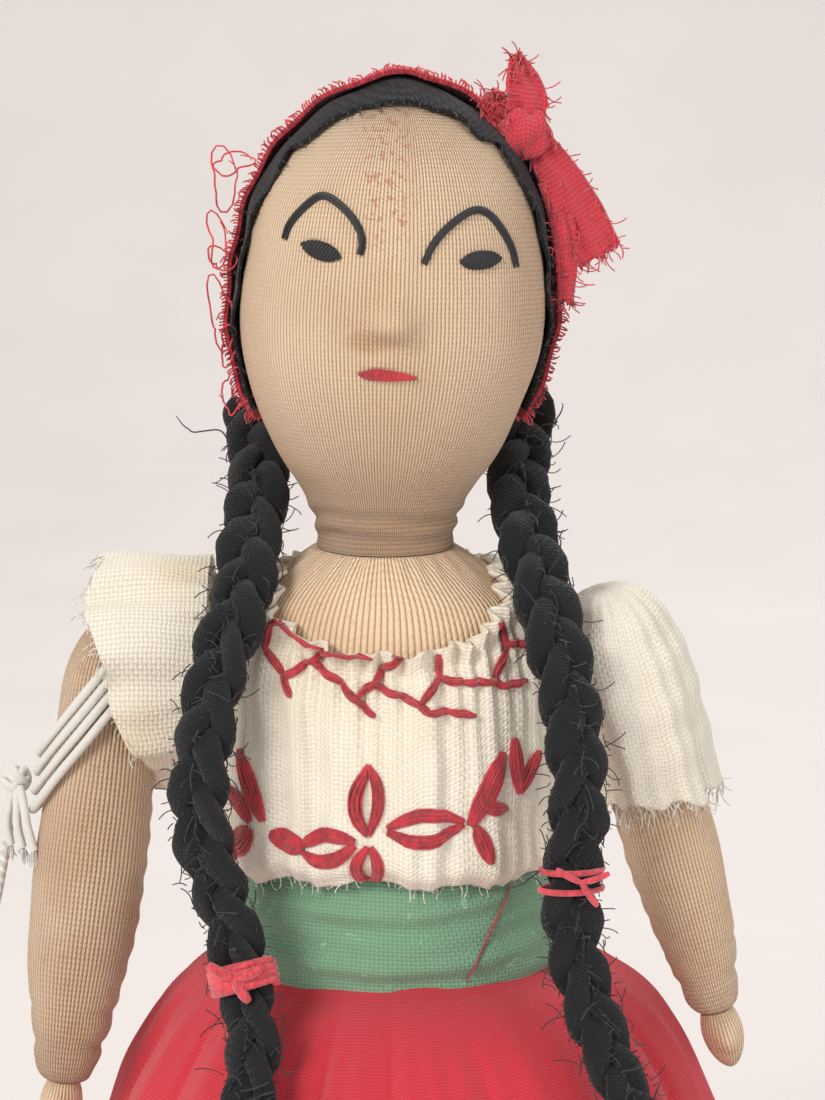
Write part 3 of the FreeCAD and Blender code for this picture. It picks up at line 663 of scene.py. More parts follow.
def run_lengths(points, axis):
    """Distance along one way of a grid of points, from its first row or column."""
    steps = np.linalg.norm(np.diff(points, axis=axis), axis=-1)
    zero = np.zeros_like(steps[:1] if axis == 0 else steps[:, :1])
    return np.concatenate([zero, np.cumsum(steps, axis=axis)], axis=axis)


def cloth_uv(points, across=None):
    """Cloth coordinates in metres: across the grid's widest row, and down its columns."""
    widths = run_lengths(points, 1)
    widest = widths[np.argmax(widths[:, -1])] if across is None else across
    downs = run_lengths(points, 0)
    return np.stack([np.broadcast_to(widest, widths.shape), downs], -1) * MM


def grid_piece(name, points, material, uv=None, wall=0.0):
    """A smooth sheet through a grid of points. Matching first and last columns are joined."""
    rows, columns = points.shape[:2]
    index = np.arange(rows * columns).reshape(rows, columns)
    quads = np.stack([index[:-1, :-1], index[:-1, 1:], index[1:, 1:], index[1:, :-1]], -1).reshape(-1,
                                                                                                   4)
    mesh = bpy.data.meshes.new(name)
    mesh.from_pydata((points * MM).reshape(-1, 3).tolist(), [], quads.tolist())
    layer = mesh.uv_layers.new(name="Cloth")
    places = cloth_uv(points) if uv is None else uv
    layer.data.foreach_set("uv", places.reshape(-1, 2)[quads.ravel()].ravel())
    body = bmesh.new()
    body.from_mesh(mesh)
    bmesh.ops.remove_doubles(body, verts=body.verts, dist=2e-6)
    bmesh.ops.recalc_face_normals(body, faces=body.faces)
    turn_outwards(body)
    for face in body.faces:
        face.smooth = True
    body.to_mesh(mesh)
    body.free()
    return linked(name, mesh, material, wall)


def turn_outwards(body):
    middle = sum((vertex.co for vertex in body.verts), Vector()) / len(body.verts)
    outward = sum((face.calc_center_median() - middle).dot(face.normal) * face.calc_area()
                  for face in body.faces)
    if outward < 0:
        bmesh.ops.reverse_faces(body, faces=body.faces)


def linked(name, mesh, material, wall=0.0):
    piece = bpy.data.objects.new(name, mesh)
    bpy.context.scene.collection.objects.link(piece)
    mesh.materials.clear()
    mesh.materials.append(material)
    if wall:
        solid = piece.modifiers.new("Cloth thickness", "SOLIDIFY")
        solid.thickness = wall * MM
        solid.offset = -1.0
    return piece


def frames_along(line):
    """Tangent, side and normal at each point of a line, without twist."""
    tangents = np.gradient(line, axis=0)
    tangents /= np.linalg.norm(tangents, axis=1)[:, None]
    side = np.cross(tangents[0], (0.0, 1.0, 0.0))
    if np.linalg.norm(side) < 0.1:
        side = np.cross(tangents[0], (1.0, 0.0, 0.0))
    sides = []
    for tangent in tangents:
        side = side - tangent * (side @ tangent)
        side /= np.linalg.norm(side)
        sides.append(side)
    sides = np.array(sides)
    return tangents, sides, np.cross(tangents, sides)


def tube_grid(line, half_width, half_depth=None, sides=14, twist=0.0, rough=0.0, seed=1):
    """Points round a line, as a closed grid with its ends drawn to the middle."""
    line = np.array(line, float)
    half_depth = half_width if half_depth is None else half_depth
    _, side, normal = frames_along(line)
    count = len(line)
    a = np.broadcast_to(half_width, count)[:, None]
    b = np.broadcast_to(half_depth, count)[:, None]
    angle = np.linspace(0, FULL_TURN, sides + 1)[None, :] + np.linspace(0, twist, count)[:, None]
    grid = (line[:, None] + (a * np.cos(angle))[..., None] * side[:, None]
            + (b * np.sin(angle))[..., None] * normal[:, None])
    if rough:
        out = grid - line[:, None]
        grid = line[:, None] + out * (1 + rough * lumps(grid, seed, 0.35)[..., None])
        grid[:, -1] = grid[:, 0]
    return np.concatenate([np.repeat(line[:1, None], sides + 1, 1), grid,
                           np.repeat(line[-1:, None], sides + 1, 1)])


def joined(name, pieces, material):
    """Several pieces made into one mesh."""
    body = bmesh.new()
    for piece in pieces:
        body.from_mesh(piece.data)
    mesh = bpy.data.meshes.new(name)
    body.to_mesh(mesh)
    body.free()
    for piece in pieces:
        data = piece.data
        bpy.data.objects.remove(piece)
        bpy.data.meshes.remove(data)
    for face in mesh.polygons:
        face.use_smooth = True
        face.material_index = 0
    return linked(name, mesh, material)


def curve_line(points):
    """Points of the smooth line that a route steers, read from its curve."""
    data = bpy.data.curves.new("Route", "CURVE")
    data.dimensions = "3D"
    data.resolution_u = 24
    spline = data.splines.new("NURBS")
    spline.points.add(len(points) - 1)
    for point, place in zip(spline.points, points):
        point.co = (*[x * MM for x in place], 1.0)
    spline.order_u = 3
    spline.use_endpoint_u = True
    holder = bpy.data.objects.new("Route", data)
    bpy.context.scene.collection.objects.link(holder)
    mesh = bpy.data.meshes.new_from_object(holder)
    line = np.array([vertex.co[:] for vertex in mesh.vertices]) / MM
    bpy.data.objects.remove(holder)
    bpy.data.meshes.remove(mesh)
    return line


# ---------------------------------------------------------------- node trees

def add_socket(tree, name, kind, value=None, output=False):
    socket = tree.interface.new_socket(name=name, in_out="OUTPUT" if output else "INPUT",
                                       socket_type=kind)
    if value is not None:
        socket.default_value = value
    return socket.identifier


class Tree:
    """A small geometry tree."""

    def __init__(self, name, inputs):
        self.tree = bpy.data.node_groups.new(name, "GeometryNodeTree")
        self.ids = {"Geometry": add_socket(self.tree, "Geometry", "NodeSocketGeometry")}
        add_socket(self.tree, "Geometry", "NodeSocketGeometry", output=True)
        for label, (kind, value) in inputs.items():
            self.ids[label] = add_socket(self.tree, label, kind, value)
        self.start = self.tree.nodes.new("NodeGroupInput")
        self.end = self.tree.nodes.new("NodeGroupOutput")

    def given(self, label):
        return self.start.outputs[label]

    def add(self, kind, settings=None, **inputs):
        node = self.tree.nodes.new(kind)
        for key, value in (settings or {}).items():
            setattr(node, key, value)
        for key, value in inputs.items():
            socket = node.inputs[int(key[1:])] if key[0] == "i" and key[1:].isdigit() else node.inputs[
                key.replace("_", " ")]
            if isinstance(value, bpy.types.NodeSocket):
                self.tree.links.new(value, socket)
            else:
                socket.default_value = value
        return node

    def finish(self, geometry):
        real = self.add("GeometryNodeRealizeInstances", Geometry=geometry)
        smooth = self.add("GeometryNodeSetShadeSmooth", Geometry=real.outputs[0])
        painted = self.add("GeometryNodeSetMaterial", Geometry=smooth.outputs[0],
                           Material=self.given("Material"))
        self.tree.links.new(painted.outputs[0], self.end.inputs[0])
        return self


TREES = {}


def sewn_threads():
    """Round threads along every edge chain, thinner at both ends."""
    if "sewn" not in TREES:
        tree = Tree("Sewn threads", {"Radius": ("NodeSocketFloat", 0.0002),
                                     "Sides": ("NodeSocketInt", 6),
                                     "Taper": ("NodeSocketFloat", 0.3),
                                     "Material": ("NodeSocketMaterial",
                                                                                     None)})
        chain = tree.add("GeometryNodeMeshToCurve", Mesh=tree.given("Geometry"))
        share = tree.add("GeometryNodeSplineParameter")
        doubled = tree.add("ShaderNodeMath", {"operation": "MULTIPLY_ADD"}, i0=share.outputs["Factor"],
                           i1=2.0,
                           i2=-1.0)
        even = tree.add("ShaderNodeMath", {"operation": "POWER"}, i0=doubled.outputs[0], i1=4.0)
        cut = tree.add("ShaderNodeMath", {"operation": "MULTIPLY"}, i0=even.outputs[0],
                       i1=tree.given("Taper"))
        left = tree.add("ShaderNodeMath", {"operation": "SUBTRACT"}, i0=1.0, i1=cut.outputs[0])
        sized = tree.add("GeometryNodeSetCurveRadius", Curve=chain.outputs[0], Radius=left.outputs[0])
        round_section = tree.add("GeometryNodeCurvePrimitiveCircle", Resolution=tree.given("Sides"),
                                 Radius=tree.given("Radius"))
        body = tree.add("GeometryNodeCurveToMesh", Curve=sized.outputs[0],
                        Profile_Curve=round_section.outputs["Curve"], Fill_Caps=True)
        if "Scale" in body.inputs:
            tree.tree.links.new(left.outputs[0], body.inputs["Scale"])
        TREES["sewn"] = tree.finish(body.outputs[0])
    return TREES["sewn"]


def loose_fibres():
    """Short bent fibres that stand off an edge in one direction, each turned a little at random."""
    if "loose" not in TREES:
        tree = Tree("Loose fibres", {
            "Count": ("NodeSocketInt", 60), "Length": ("NodeSocketFloat", 0.002),
            "Radius": ("NodeSocketFloat", 0.00006), "Direction": ("NodeSocketVector", (0.0, 0.0, -1.0)),
            "Spread": ("NodeSocketFloat", 0.6), "Seed": ("NodeSocketInt", 1),
            "Material": ("NodeSocketMaterial", None)})
        chain = tree.add("GeometryNodeMeshToCurve", Mesh=tree.given("Geometry"))
        points = tree.add("GeometryNodeCurveToPoints", {"mode": "COUNT"}, Curve=chain.outputs[0],
                          Count=tree.given("Count"))
        fibre = tree.add("GeometryNodeCurveQuadraticBezier", Resolution=4, Start=(0, 0, 0),
                         Middle=(0.22, 0.1, 0.5), End=(0.05, -0.15, 1.0))
        chance = tree.add("FunctionNodeRandomValue", {"data_type": "FLOAT_VECTOR"}, i0=(-1, -1, -1),
                          i1=(1, 1, 1), Seed=tree.given("Seed"))
        spread = tree.add("ShaderNodeVectorMath", {"operation": "SCALE"}, i0=chance.outputs[0],
                          Scale=tree.given("Spread"))
        aim = tree.add("ShaderNodeVectorMath", {"operation": "ADD"}, i0=spread.outputs[0],
                       i1=tree.given("Direction"))
        turn = tree.add("FunctionNodeAlignRotationToVector", {"axis": "Z"}, Vector=aim.outputs[0])
        other = tree.add("ShaderNodeMath", {"operation": "ADD"}, i0=tree.given("Seed"), i1=7.0)
        size = tree.add("FunctionNodeRandomValue", {"data_type": "FLOAT"}, i2=0.25, i3=1.3,
                        Seed=other.outputs[0])
        scale = tree.add("ShaderNodeMath", {"operation": "MULTIPLY"}, i0=size.outputs[1],
                         i1=tree.given("Length"))
        placed = tree.add("GeometryNodeInstanceOnPoints", Points=points.outputs[0],
                          Instance=fibre.outputs[0],
                          Rotation=turn.outputs[0], Scale=scale.outputs[0])
        real = tree.add("GeometryNodeRealizeInstances", Geometry=placed.outputs[0])
        round_section = tree.add("GeometryNodeCurvePrimitiveCircle", Resolution=3,
                                 Radius=tree.given("Radius"))
        body = tree.add("GeometryNodeCurveToMesh", Curve=real.outputs[0],
                        Profile_Curve=round_section.outputs["Curve"], Fill_Caps=True)
        TREES["loose"] = tree.finish(body.outputs[0])
    return TREES["loose"]


def grown(name, lines, tree, material, **values):
    """The plain mesh that a tree makes from chains of points."""
    vertices = [tuple(point) for line in lines for point in np.array(line) * MM]
    edges = []
    first = 0
    for line in lines:
        edges += [(first + k, first + k + 1) for k in range(len(line) - 1)]
        first += len(line)
    mesh = bpy.data.meshes.new(name + "_chains")
    mesh.from_pydata(vertices, edges, [])
    holder = bpy.data.objects.new(name + "_chains", mesh)
    bpy.context.scene.collection.objects.link(holder)
    modifier = holder.modifiers.new(tree.tree.name, "NODES")
    modifier.node_group = tree.tree
    modifier[tree.ids["Material"]] = material
    for label, value in values.items():
        modifier[tree.ids[label]] = value
    bpy.context.view_layer.update()
    made = holder.evaluated_get(bpy.context.evaluated_depsgraph_get())
    result = bpy.data.meshes.new_from_object(made)
    bpy.data.objects.remove(holder)
    result.name = name
    if not len(result.polygons):
        raise RuntimeError(f"{name} came out empty")
    return linked(name, result, material)


def sew(name, lines, radius, material, taper=0.3, sides=6):
    return grown(name, lines, sewn_threads(), material, Radius=radius, Taper=taper, Sides=sides)


def fray(name, lines, material, count, length, direction, spread=0.6, radius=0.00007, seed=1):
    return grown(name, lines, loose_fibres(), material, Count=count, Length=length, Radius=radius,
                 Direction=direction, Spread=spread, Seed=seed)


# ---------------------------------------------------------------- body surfaces

def head_outline(grow):
    """(half width, height) from the neck seam to the crown, grown along its own normals."""
    points = [(width, NECK_Z + share * HEAD_HEIGHT) for share, width in HEAD_OUTLINE]
    points += [(0.0, CROWN_Z + 1.1), (-5.3, NECK_Z + 0.975 * HEAD_HEIGHT)]
    line = spaced(rounded(points), 460)
    line = line[line[:, 0] >= 0]
    along = np.gradient(line, axis=0)
    out = np.stack([along[:, 1], -along[:, 0]], 1)
    out /= np.linalg.norm(out, axis=1)[:, None]
    line = line + out * grow
    line[-1, 0] = 0.0
    return line


def head_middle(z):
    return HEAD_OFFSET + HEAD_LEAN * (z - NECK_Z)


def head_reach(directions, grow):
    """How far the head goes from its centre in each direction."""
    outline = head_outline(grow)
    centre = np.array([head_middle(HEAD_CENTRE_Z), 0.0, HEAD_CENTRE_Z])
    low = np.zeros(directions.shape[:-1])
    high = np.full(directions.shape[:-1], 40.0)
    for _ in range(26):
        middle = (low + high) / 2
        p = centre + directions * middle[..., None]
        half = np.interp(p[..., 2], outline[:, 1], outline[:, 0], left=0.01, right=0.01)
        inside = ((p[..., 0] - head_middle(p[..., 2])) ** 2 + (p[..., 1] / HEAD_RATIO) ** 2 < half ** 2)
        inside &= p[..., 2] < outline[-1, 1]
        low = np.where(inside, middle, low)
        high = np.where(inside, high, middle)
    return centre + directions * ((low + high) / 2)[..., None]


def torso_at(z):
    share = (np.asarray(z) - WAIST_Z) / TORSO_LENGTH
    rows = rounded(TORSO_OUTLINE, 3)
    return np.interp(share, rows[:, 0], rows[:, 1]), np.interp(share, rows[:, 0], rows[:, 2])


def arm_matrix(arm):
    turn = Matrix.Rotation(math.pi, 4, "X")
    turn = Matrix.Rotation(math.radians(-arm["side"] * arm["splay"]), 4, "Y") @ turn
    turn = Matrix.Rotation(math.radians(-arm["swing"]), 4, "X") @ turn
    return np.array(Matrix.Translation((arm["side"] * arm["shoulder_x"], 0, WIRE_Z)) @ turn)


def moved(points, matrix):
    return points @ matrix[:3, :3].T + matrix[:3, 3]


SKINS = {}


def keep_skin(name, piece):
    body = bmesh.new()
    body.from_mesh(piece.data)
    SKINS[name] = BVHTree.FromBMesh(body)
    body.free()


def front_of(name, x, z, lift):
    """Where a line along Y first meets a skin from the front, in millimetres, lifted off it."""
    place, normal, _, _ = SKINS[name].ray_cast(Vector((x * MM, -0.2, z * MM)), Vector((0, 1, 0)))
    if place is None or place.y > -0.002:
        place, normal, _, _ = SKINS[name].find_nearest(Vector((x * MM, -0.0145, z * MM)))
    if normal.y > 0:
        normal = -normal
    return np.array(place) / MM + np.array(normal) * lift


def strands(name, line, half_width, count, lift, pointed=True):
    """Threads side by side along a line: together they are widest in the middle."""
    line = spaced(rounded(line, 2), max(5, int(len(line) * 4)))
    along = np.gradient(line, axis=0)
    along /= np.linalg.norm(along, axis=1)[:, None]
    side = np.stack([-along[:, 1], along[:, 0]], 1)
    share = np.linspace(0, 1, len(line))
    swell = np.sqrt(np.clip(np.sin(math.pi * np.clip(share, 0.03, 0.97)), 0, 1)) if pointed else 1.0
    made = []
    for offset in np.linspace(-1, 1, count):
        shifted = line + side * (offset * half_width * swell)[:, None] if pointed else (
            line + side * offset * half_width)
        top = lift + 0.22 * (1 - abs(offset))
        made.append(np.array([front_of(name, x, z, top) for x, z in shifted]))
    return made


# ---------------------------------------------------------------- pieces

def make_stage():
    floor = bpy.data.meshes.new("Floor")
    depth = [(-1.6, 0.0), (0.7, 0.0), (0.95, 0.04), (1.1, 0.18), (1.16, 0.45), (1.18, 2.0)]
    line = spaced(rounded(depth, 3), 40)
    grid = np.array([[(x, y, z) for x in (-2.5, 0.0, 2.5)] for y, z in line])
    index = np.arange(len(line) * 3).reshape(-1, 3)
    faces = np.stack([index[:-1, :-1], index[:-1, 1:], index[1:, 1:], index[1:, :-1]], -1).reshape(-1,
                                                                                                   4)
    floor.from_pydata(grid.reshape(-1, 3).tolist(), [], faces.tolist())
    cloth = Finish("Pale floor", roughness=0.8, sheen=0.0)
    grain = cloth.noise(14.0, 3.0)
    base = cloth.blend(grain.between(0.3, 0.7), darker(colours().floor, 0.97), colours().floor)
    piece = linked("Floor", floor, cloth.finish(base, grain, 0.0002, 0.1))
    for face in floor.polygons:
        face.use_smooth = True

    for name, place, aim, size, power, tint in (
            ("Key light", (-0.55, -0.75, 0.75), (0.0, 0.0, 0.14), 0.40, 8.2, (1.0, 0.97, 0.93)),
            ("Fill light", (0.8, -0.6, 0.35), (0.0, 0.0, 0.14), 0.7, 2.6, (0.95, 0.97, 1.0)),
            ("Back light", (0.3, 0.7, 0.8), (0.0, 0.0, 0.15), 0.5, 2.6, (1.0, 1.0, 1.0)),
            ("Floor light", (0.0, 0.3, 1.3), (0.0, 0.9, 0.2), 1.0, 3.2, (1.0, 0.99, 0.97))):
        data = bpy.data.lights.new(name, "AREA")
        data.energy = power
        data.size = size
        data.color = tint
        lamp = bpy.data.objects.new(name, data)
        lamp.location = place
        lamp.rotation_euler = (Vector(aim) - Vector(place)).to_track_quat("-Z", "Y").to_euler()
        bpy.context.scene.collection.objects.link(lamp)
    world = bpy.data.worlds.new("Pale room")
    world.use_nodes = True
    world.node_tree.nodes["Background"].inputs["Color"].default_value = (0.80, 0.76, 0.75, 1.0)
    world.node_tree.nodes["Background"].inputs["Strength"].default_value = 0.52
    bpy.context.scene.world = world
    bpy.context.scene.view_settings.view_transform = "Standard"

    data = bpy.data.cameras.new("Camera")
    data.sensor_fit = "AUTO"
    data.sensor_width = 36.0
    data.lens = CAMERA_LENS
    data.clip_start = 0.01
    data.clip_end = 20.0
    camera = bpy.data.objects.new("Camera", data)
    camera.location = CAMERA_PLACE
    camera.rotation_euler = (math.radians(90 - CAMERA_DOWN), 0.0, 0.0)
    bpy.context.scene.collection.objects.link(camera)
    bpy.context.scene.camera = camera


def braid_strand(line, side, normal, phase, turns, seed):
    """One torn strip of a three-strand braid."""
    share = np.linspace(0, 1, len(line))
    turn = turns * share * FULL_TURN + phase
    slim = 1.0 - 0.25 * share ** 2
    place = (line + side * (1.95 * np.sin(turn) * slim)[:, None]
             + normal * (0.95 * np.sin(2 * turn) * slim)[:, None])
    chance = np.random.default_rng(seed)
    width = (1.62 + 0.22 * np.sin(share * 61 + chance.uniform(0, 6))) * slim
    depth = (1.12 + 0.16 * np.sin(share * 47 + chance.uniform(0, 6))) * slim
    ends = np.sin(math.pi * np.clip(share / 0.03, 0,
                                    0.5)) * np.sin(math.pi * np.clip((1 - share) / 0.02, 0, 0.5))
    return tube_grid(place, width * (0.35 + 0.65 * ends), depth * (0.35 + 0.65 * ends), 20, 3.0, 0.10,
                     seed)


def make_braid(name):
    route = BRAID_ROUTES[name]
    smooth = curve_line(route)
    line = spaced(smooth, 220)
    length = np.linalg.norm(np.diff(line, axis=0), axis=1).sum()
    _, side, normal = frames_along(line)
    turns = length * MM / threads_of().braid_pitch
    parts = []
    for index in range(3):
        grid = braid_strand(line, side, normal, index * FULL_TURN / 3, turns, 11 + index)
        parts.append(grid_piece(f"strip_{index}", grid, black_cloth()))
    braid = joined(f"braid_{name}_strips", parts, black_cloth())
    chance = np.random.default_rng(31 if name == "right" else 32)
    lines = []
    for offset in np.linspace(0, FULL_TURN, 5)[:-1]:
        around = side * math.cos(offset) * 3.1 + normal * math.sin(offset) * 1.9
        lines.append(line[3:-3] + around[3:-3])
    fuzz = fray(f"braid_{name}_fuzz", lines, black_fibre(), 150, threads_of().fray_length * 1.1,
                (0.0, 0.0, -0.25), 1.0, 0.00007, 5)
    strays = []
    for _ in range(16):
        start = chance.integers(8, len(line) - 12)
        sway = chance.normal(size=3) * np.array([1.0, 0.35, 1.0])
        step = np.cumsum(chance.normal(size=(9, 3)) * 0.45 + sway * 0.42, axis=0)
        strays.append(line[start] + normal[start] * 0.5 + np.vstack([[0, 0, 0], step * [1, 0.3, 1]]))
    loose = sew(f"braid_{name}_strays", [rounded(stray, 2) for stray in strays], 0.00009,
                black_fibre(), 0.5, 5)
    end = line[-1]
    down = line[-1] - line[-6]
    down /= np.linalg.norm(down)
    tuft_lines = []
    for _ in range(34):
        away = chance.normal(size=3) * 0.8
        tuft_lines.append(np.array([end - down * 1.5 + away, end + down * 1.2 + away * 1.3,
                                    end + down * chance.uniform(1.5, 3.2) + away * 1.7]))
    tuft = sew(f"braid_{name}_tuft", tuft_lines, 0.00014, black_fibre(), 0.4, 5)

    tie_share = {"right": 7.35, "left": 6.35}[name] / (len(route) - 1)
    at = int(tie_share * len(line))
    turns_of_tie = []
    count = 4 if name == "right" else 2
    for lap in np.linspace(-1, 1, count):
        angle = np.linspace(0, FULL_TURN * 1.02, 40)
        step = line[at + 1] - line[at]
        centre = line[at] + step / np.linalg.norm(step) * lap
        turns_of_tie.append(centre + side[at] * (3.35 * np.cos(angle))[:, None]
                            + normal[at] * (2.35 * np.sin(angle))[:, None]
                            + (line[at + 2] - line[at]) * (angle / FULL_TURN * 0.4)[:, None])
    face = -1.0 if normal[at][1] > 0 else 1.0
    front = line[at] + normal[at] * face * 2.5
    for away in ((2.8, -0.6, 1.2), (-2.6, -0.5, 1.6), (1.6, -0.9, -2.2)):
        turns_of_tie.append(rounded([front, front + np.array(away) * 0.5 + (0, -0.5, 0),
                                     front + np.array(away)], 2))
    tie = sew(f"braid_{name}_tie", turns_of_tie, 0.00055 if name == "right" else 0.00034, tie_cloth(),
              0.35, 8)
    for piece, slot_name in ((braid, "black_cloth"), (fuzz, "black_cloth"), (loose, "black_cloth"),
                             (tuft, "black_cloth"), (tie, "red_cloth")):
        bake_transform(piece)
    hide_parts(f"braid_{name}")
    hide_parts(f"braid_tie_{name}")


def make_string():
    """The white string: four turns round the right arm, its knot and cut ends, and the loose tail."""
    radius = threads_of().string_radius
    smooth = curve_line(STRING_ROUTE)
    line = spaced(smooth, 180)
    grid = tube_grid(line, radius / MM, None, 10)
    across = np.linspace(0, FULL_TURN * radius / MM, grid.shape[1])
    tail = grid_piece("string_tail_cord", grid, string_cotton(), cloth_uv(grid, across))
    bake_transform(tail)
    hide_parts("string_tail")

    arm = ARMS["right"]
    reach = LOOP_REACH
    slant = math.radians(LOOP_SLANT)
    matrix = arm_matrix(arm)
    local = np.array(Matrix.Translation((0, 0, LOOP_HEIGHT)) @ Matrix.Rotation(slant, 4, "Y"))
    turns = []
    angle = np.linspace(0, FULL_TURN, 72)
    for strand in range(4):
        offset = (strand - 1.5) * 1.12 / math.cos(slant)
        loop = np.stack([reach / math.cos(slant) * np.cos(angle), reach * np.sin(angle), 0 * angle], 1)
        loop = moved(loop, local) + [0, 0, offset]
        loop += 0.12 * np.stack([lumps(loop, 60 + strand, 0.06)] * 3, 1) * [0.4, 1, 0.4]
        loop[-1] = loop[0]
        turns.append(moved(loop, matrix))
    outer = moved(moved(np.array([[-reach / math.cos(slant), 0, 0]]), local), matrix)[0]
    chance = np.random.default_rng(8)
    knot = outer + moved(np.array([[-2.3, 0, 0.0]]), matrix)[0] - matrix[:3, 3]
    wraps = []
    for k in range(5):
        tilt = chance.uniform(0.3, 1.4)
        swing = chance.uniform(0, FULL_TURN)
        a = np.linspace(0, FULL_TURN, 30)
        ring = np.stack([1.25 * np.cos(a), 1.25 * np.sin(a), 0.35 * np.sin(2 * a)], 1)
        turn = np.array(Matrix.Rotation(swing, 3, "Z") @ Matrix.Rotation(tilt, 3, "X"))
        wraps.append(knot + ring @ turn.T)
    ends = []
    for k in range(3):
        x, y = -0.6 + 1.1 * k, -1.2 - 0.9 * k
        ends.append(rounded([knot + (x * 0.4, y * 0.4, -0.6), knot + (x * 0.8, y, -2.4),
                             knot + (x * 1.2 - 0.3, y * 1.15, -4.6),
                             knot + (x * 1.3 + 0.3, y * 1.2, -7.0)], 3))
    loops = sew("string_turns", turns, radius * 0.97, string_cotton(), 0.0, 10)
    knots = sew("string_knot_wraps", wraps + ends, radius * 0.95, string_cotton(), 0.12, 10)
    cut = fray("string_cut_ends", [end[-4:] for end in ends], string_cotton(), 26, 0.0016,
               (0, -0.2, -1), 0.5,
               0.00007, 4)
    for piece in (loops, knots, cut):
        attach(piece, "arm_right")
    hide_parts("string_loop")
    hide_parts("string_knot")


def make_head():
    outline = head_outline(0.0)
    line = spaced(outline, 230)
    angle = np.linspace(0, FULL_TURN, 301) + math.pi / 2
    half, z = line[:, :1], line[:, 1:]
    x = head_middle(z) + half * np.cos(angle)
    y = half * HEAD_RATIO * np.sin(angle)
    grid = np.stack([x, y, np.broadcast_to(z, x.shape)], -1)
    out = grid - np.stack([head_middle(z) + 0 * x, 0 * x, np.broadcast_to(z, x.shape)], -1)
    out /= np.maximum(np.linalg.norm(out, axis=-1, keepdims=True), 1e-6)
    grid += out * 0.10 * lumps(grid, 3, 0.05)[..., None]
    fold = np.exp(-((grid[..., 2] - 157.2) / 2.0) ** 2)
    wave = np.sin((grid[..., 2] - 154.2) * 2.7 + 2.4 * lumps(grid, 5, 0.06)) * 0.24
    grid += out * (fold * wave)[..., None]
    near = np.hypot((grid[..., 0] - NOSE[0]) / 2.0, (grid[..., 2] - NOSE[1]) / 2.0)
    front = grid[..., 1] < 0
    bump = np.where(front, 2.2 * np.exp(-near ** 2), 0.0)
    under = np.hypot((grid[..., 0] - NOSE[0] + 1.4) / 2.0, (grid[..., 2] - NOSE[1] + 2.1) / 1.0)
    bump -= np.where(front, 0.5 * np.exp(-under ** 2), 0.0)
    grid[..., 1] -= bump
    for (ex, ez), _ in EYES:
        dent = np.hypot((grid[..., 0] - ex) / 2.8, (grid[..., 2] - ez) / 1.8)
        grid[..., 1] += np.where(front, 0.22 * np.exp(-dent ** 2), 0.0)
    grid[:, -1] = grid[:, 0]
    grid[-1] = grid[-1].mean(0)
    across = (angle - angle[0]) * HEAD_HALF_WIDTH * 0.95
    piece = grid_piece("head_skin", grid, head_knit(), cloth_uv(grid, across))
    keep_skin("head", piece)
    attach(piece, "head")
    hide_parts("head_cover", "head_stuffing", "nose_pad")


def make_chest():
    """The stuffed body under the dress."""
    heights = np.concatenate([np.linspace(99.0, 134, 30), np.linspace(134.6, 154.05, 70)])
    angle = np.linspace(0, FULL_TURN, 241) + math.pi / 2
    wide, deep = torso_at(np.maximum(heights, WAIST_Z))
    inset = np.where(heights < WAIST_Z, 0.7, 0.0)
    shift = HEAD_OFFSET * np.clip((heights - 149) / 5.2, 0, 1)
    x = shift[:, None] + (wide - inset)[:, None] * np.cos(angle)
    y = (deep - inset)[:, None] * np.sin(angle)
    grid = np.stack([x, y, np.broadcast_to(heights[:, None], x.shape)], -1)
    out = grid * [1, 1, 0]
    out /= np.maximum(np.linalg.norm(out, axis=-1, keepdims=True), 1e-6)
    grid += out * 0.16 * lumps(grid, 9, 0.06)[..., None]
    pull = np.exp(-((grid[..., 2] - 153.2) / 1.5) ** 2)
    grid += out * (pull * 0.22 * np.sin(np.arctan2(grid[..., 1], grid[..., 0]) * 26))[..., None]
    grid[:, -1] = grid[:, 0]
    low = np.repeat(grid[:1].mean(1, keepdims=True), grid.shape[1], 1)
    high = np.repeat(grid[-1:].mean(1, keepdims=True), grid.shape[1], 1)
    grid = np.concatenate([low, grid, high])
    across = (angle - angle[0]) * 15.0
    piece = grid_piece("chest_skin", grid, chest_knit(), cloth_uv(grid, across))
    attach(piece, "torso")
    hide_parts("body_cover", "body_stuffing")
    for node, finish in (("neck_dowel", turned_wood()), ("wire_beads", turned_wood()),
                         ("shoulder_wire", drawn_wire()), ("waistband", plain_cotton())):
        NODES[node].data.materials.clear()
        NODES[node].data.materials.append(finish)


def blouse_at(z):
    """Half width, half depth and forward shift of the blouse."""
    share = (z - WAIST_Z) / TORSO_LENGTH
    rows = rounded([(0.24, 2.55, 0.9), (0.29, 3.3, 1.1), (0.42, 2.1, 1.0), (0.60, 1.25, 0.8),
                    (0.76, 1.0, 0.5),
                    (0.87, 1.05, 0.3), (0.94, 1.15, 0.2), (1.0, 1.15, 0.2)], 3)
    wide, deep = torso_at(z)
    ease = np.interp(share, rows[:, 0], rows[:, 1])
    forward = np.interp(share, rows[:, 0], rows[:, 2]) * 0.75
    return wide + ease, deep + ease + forward, -forward


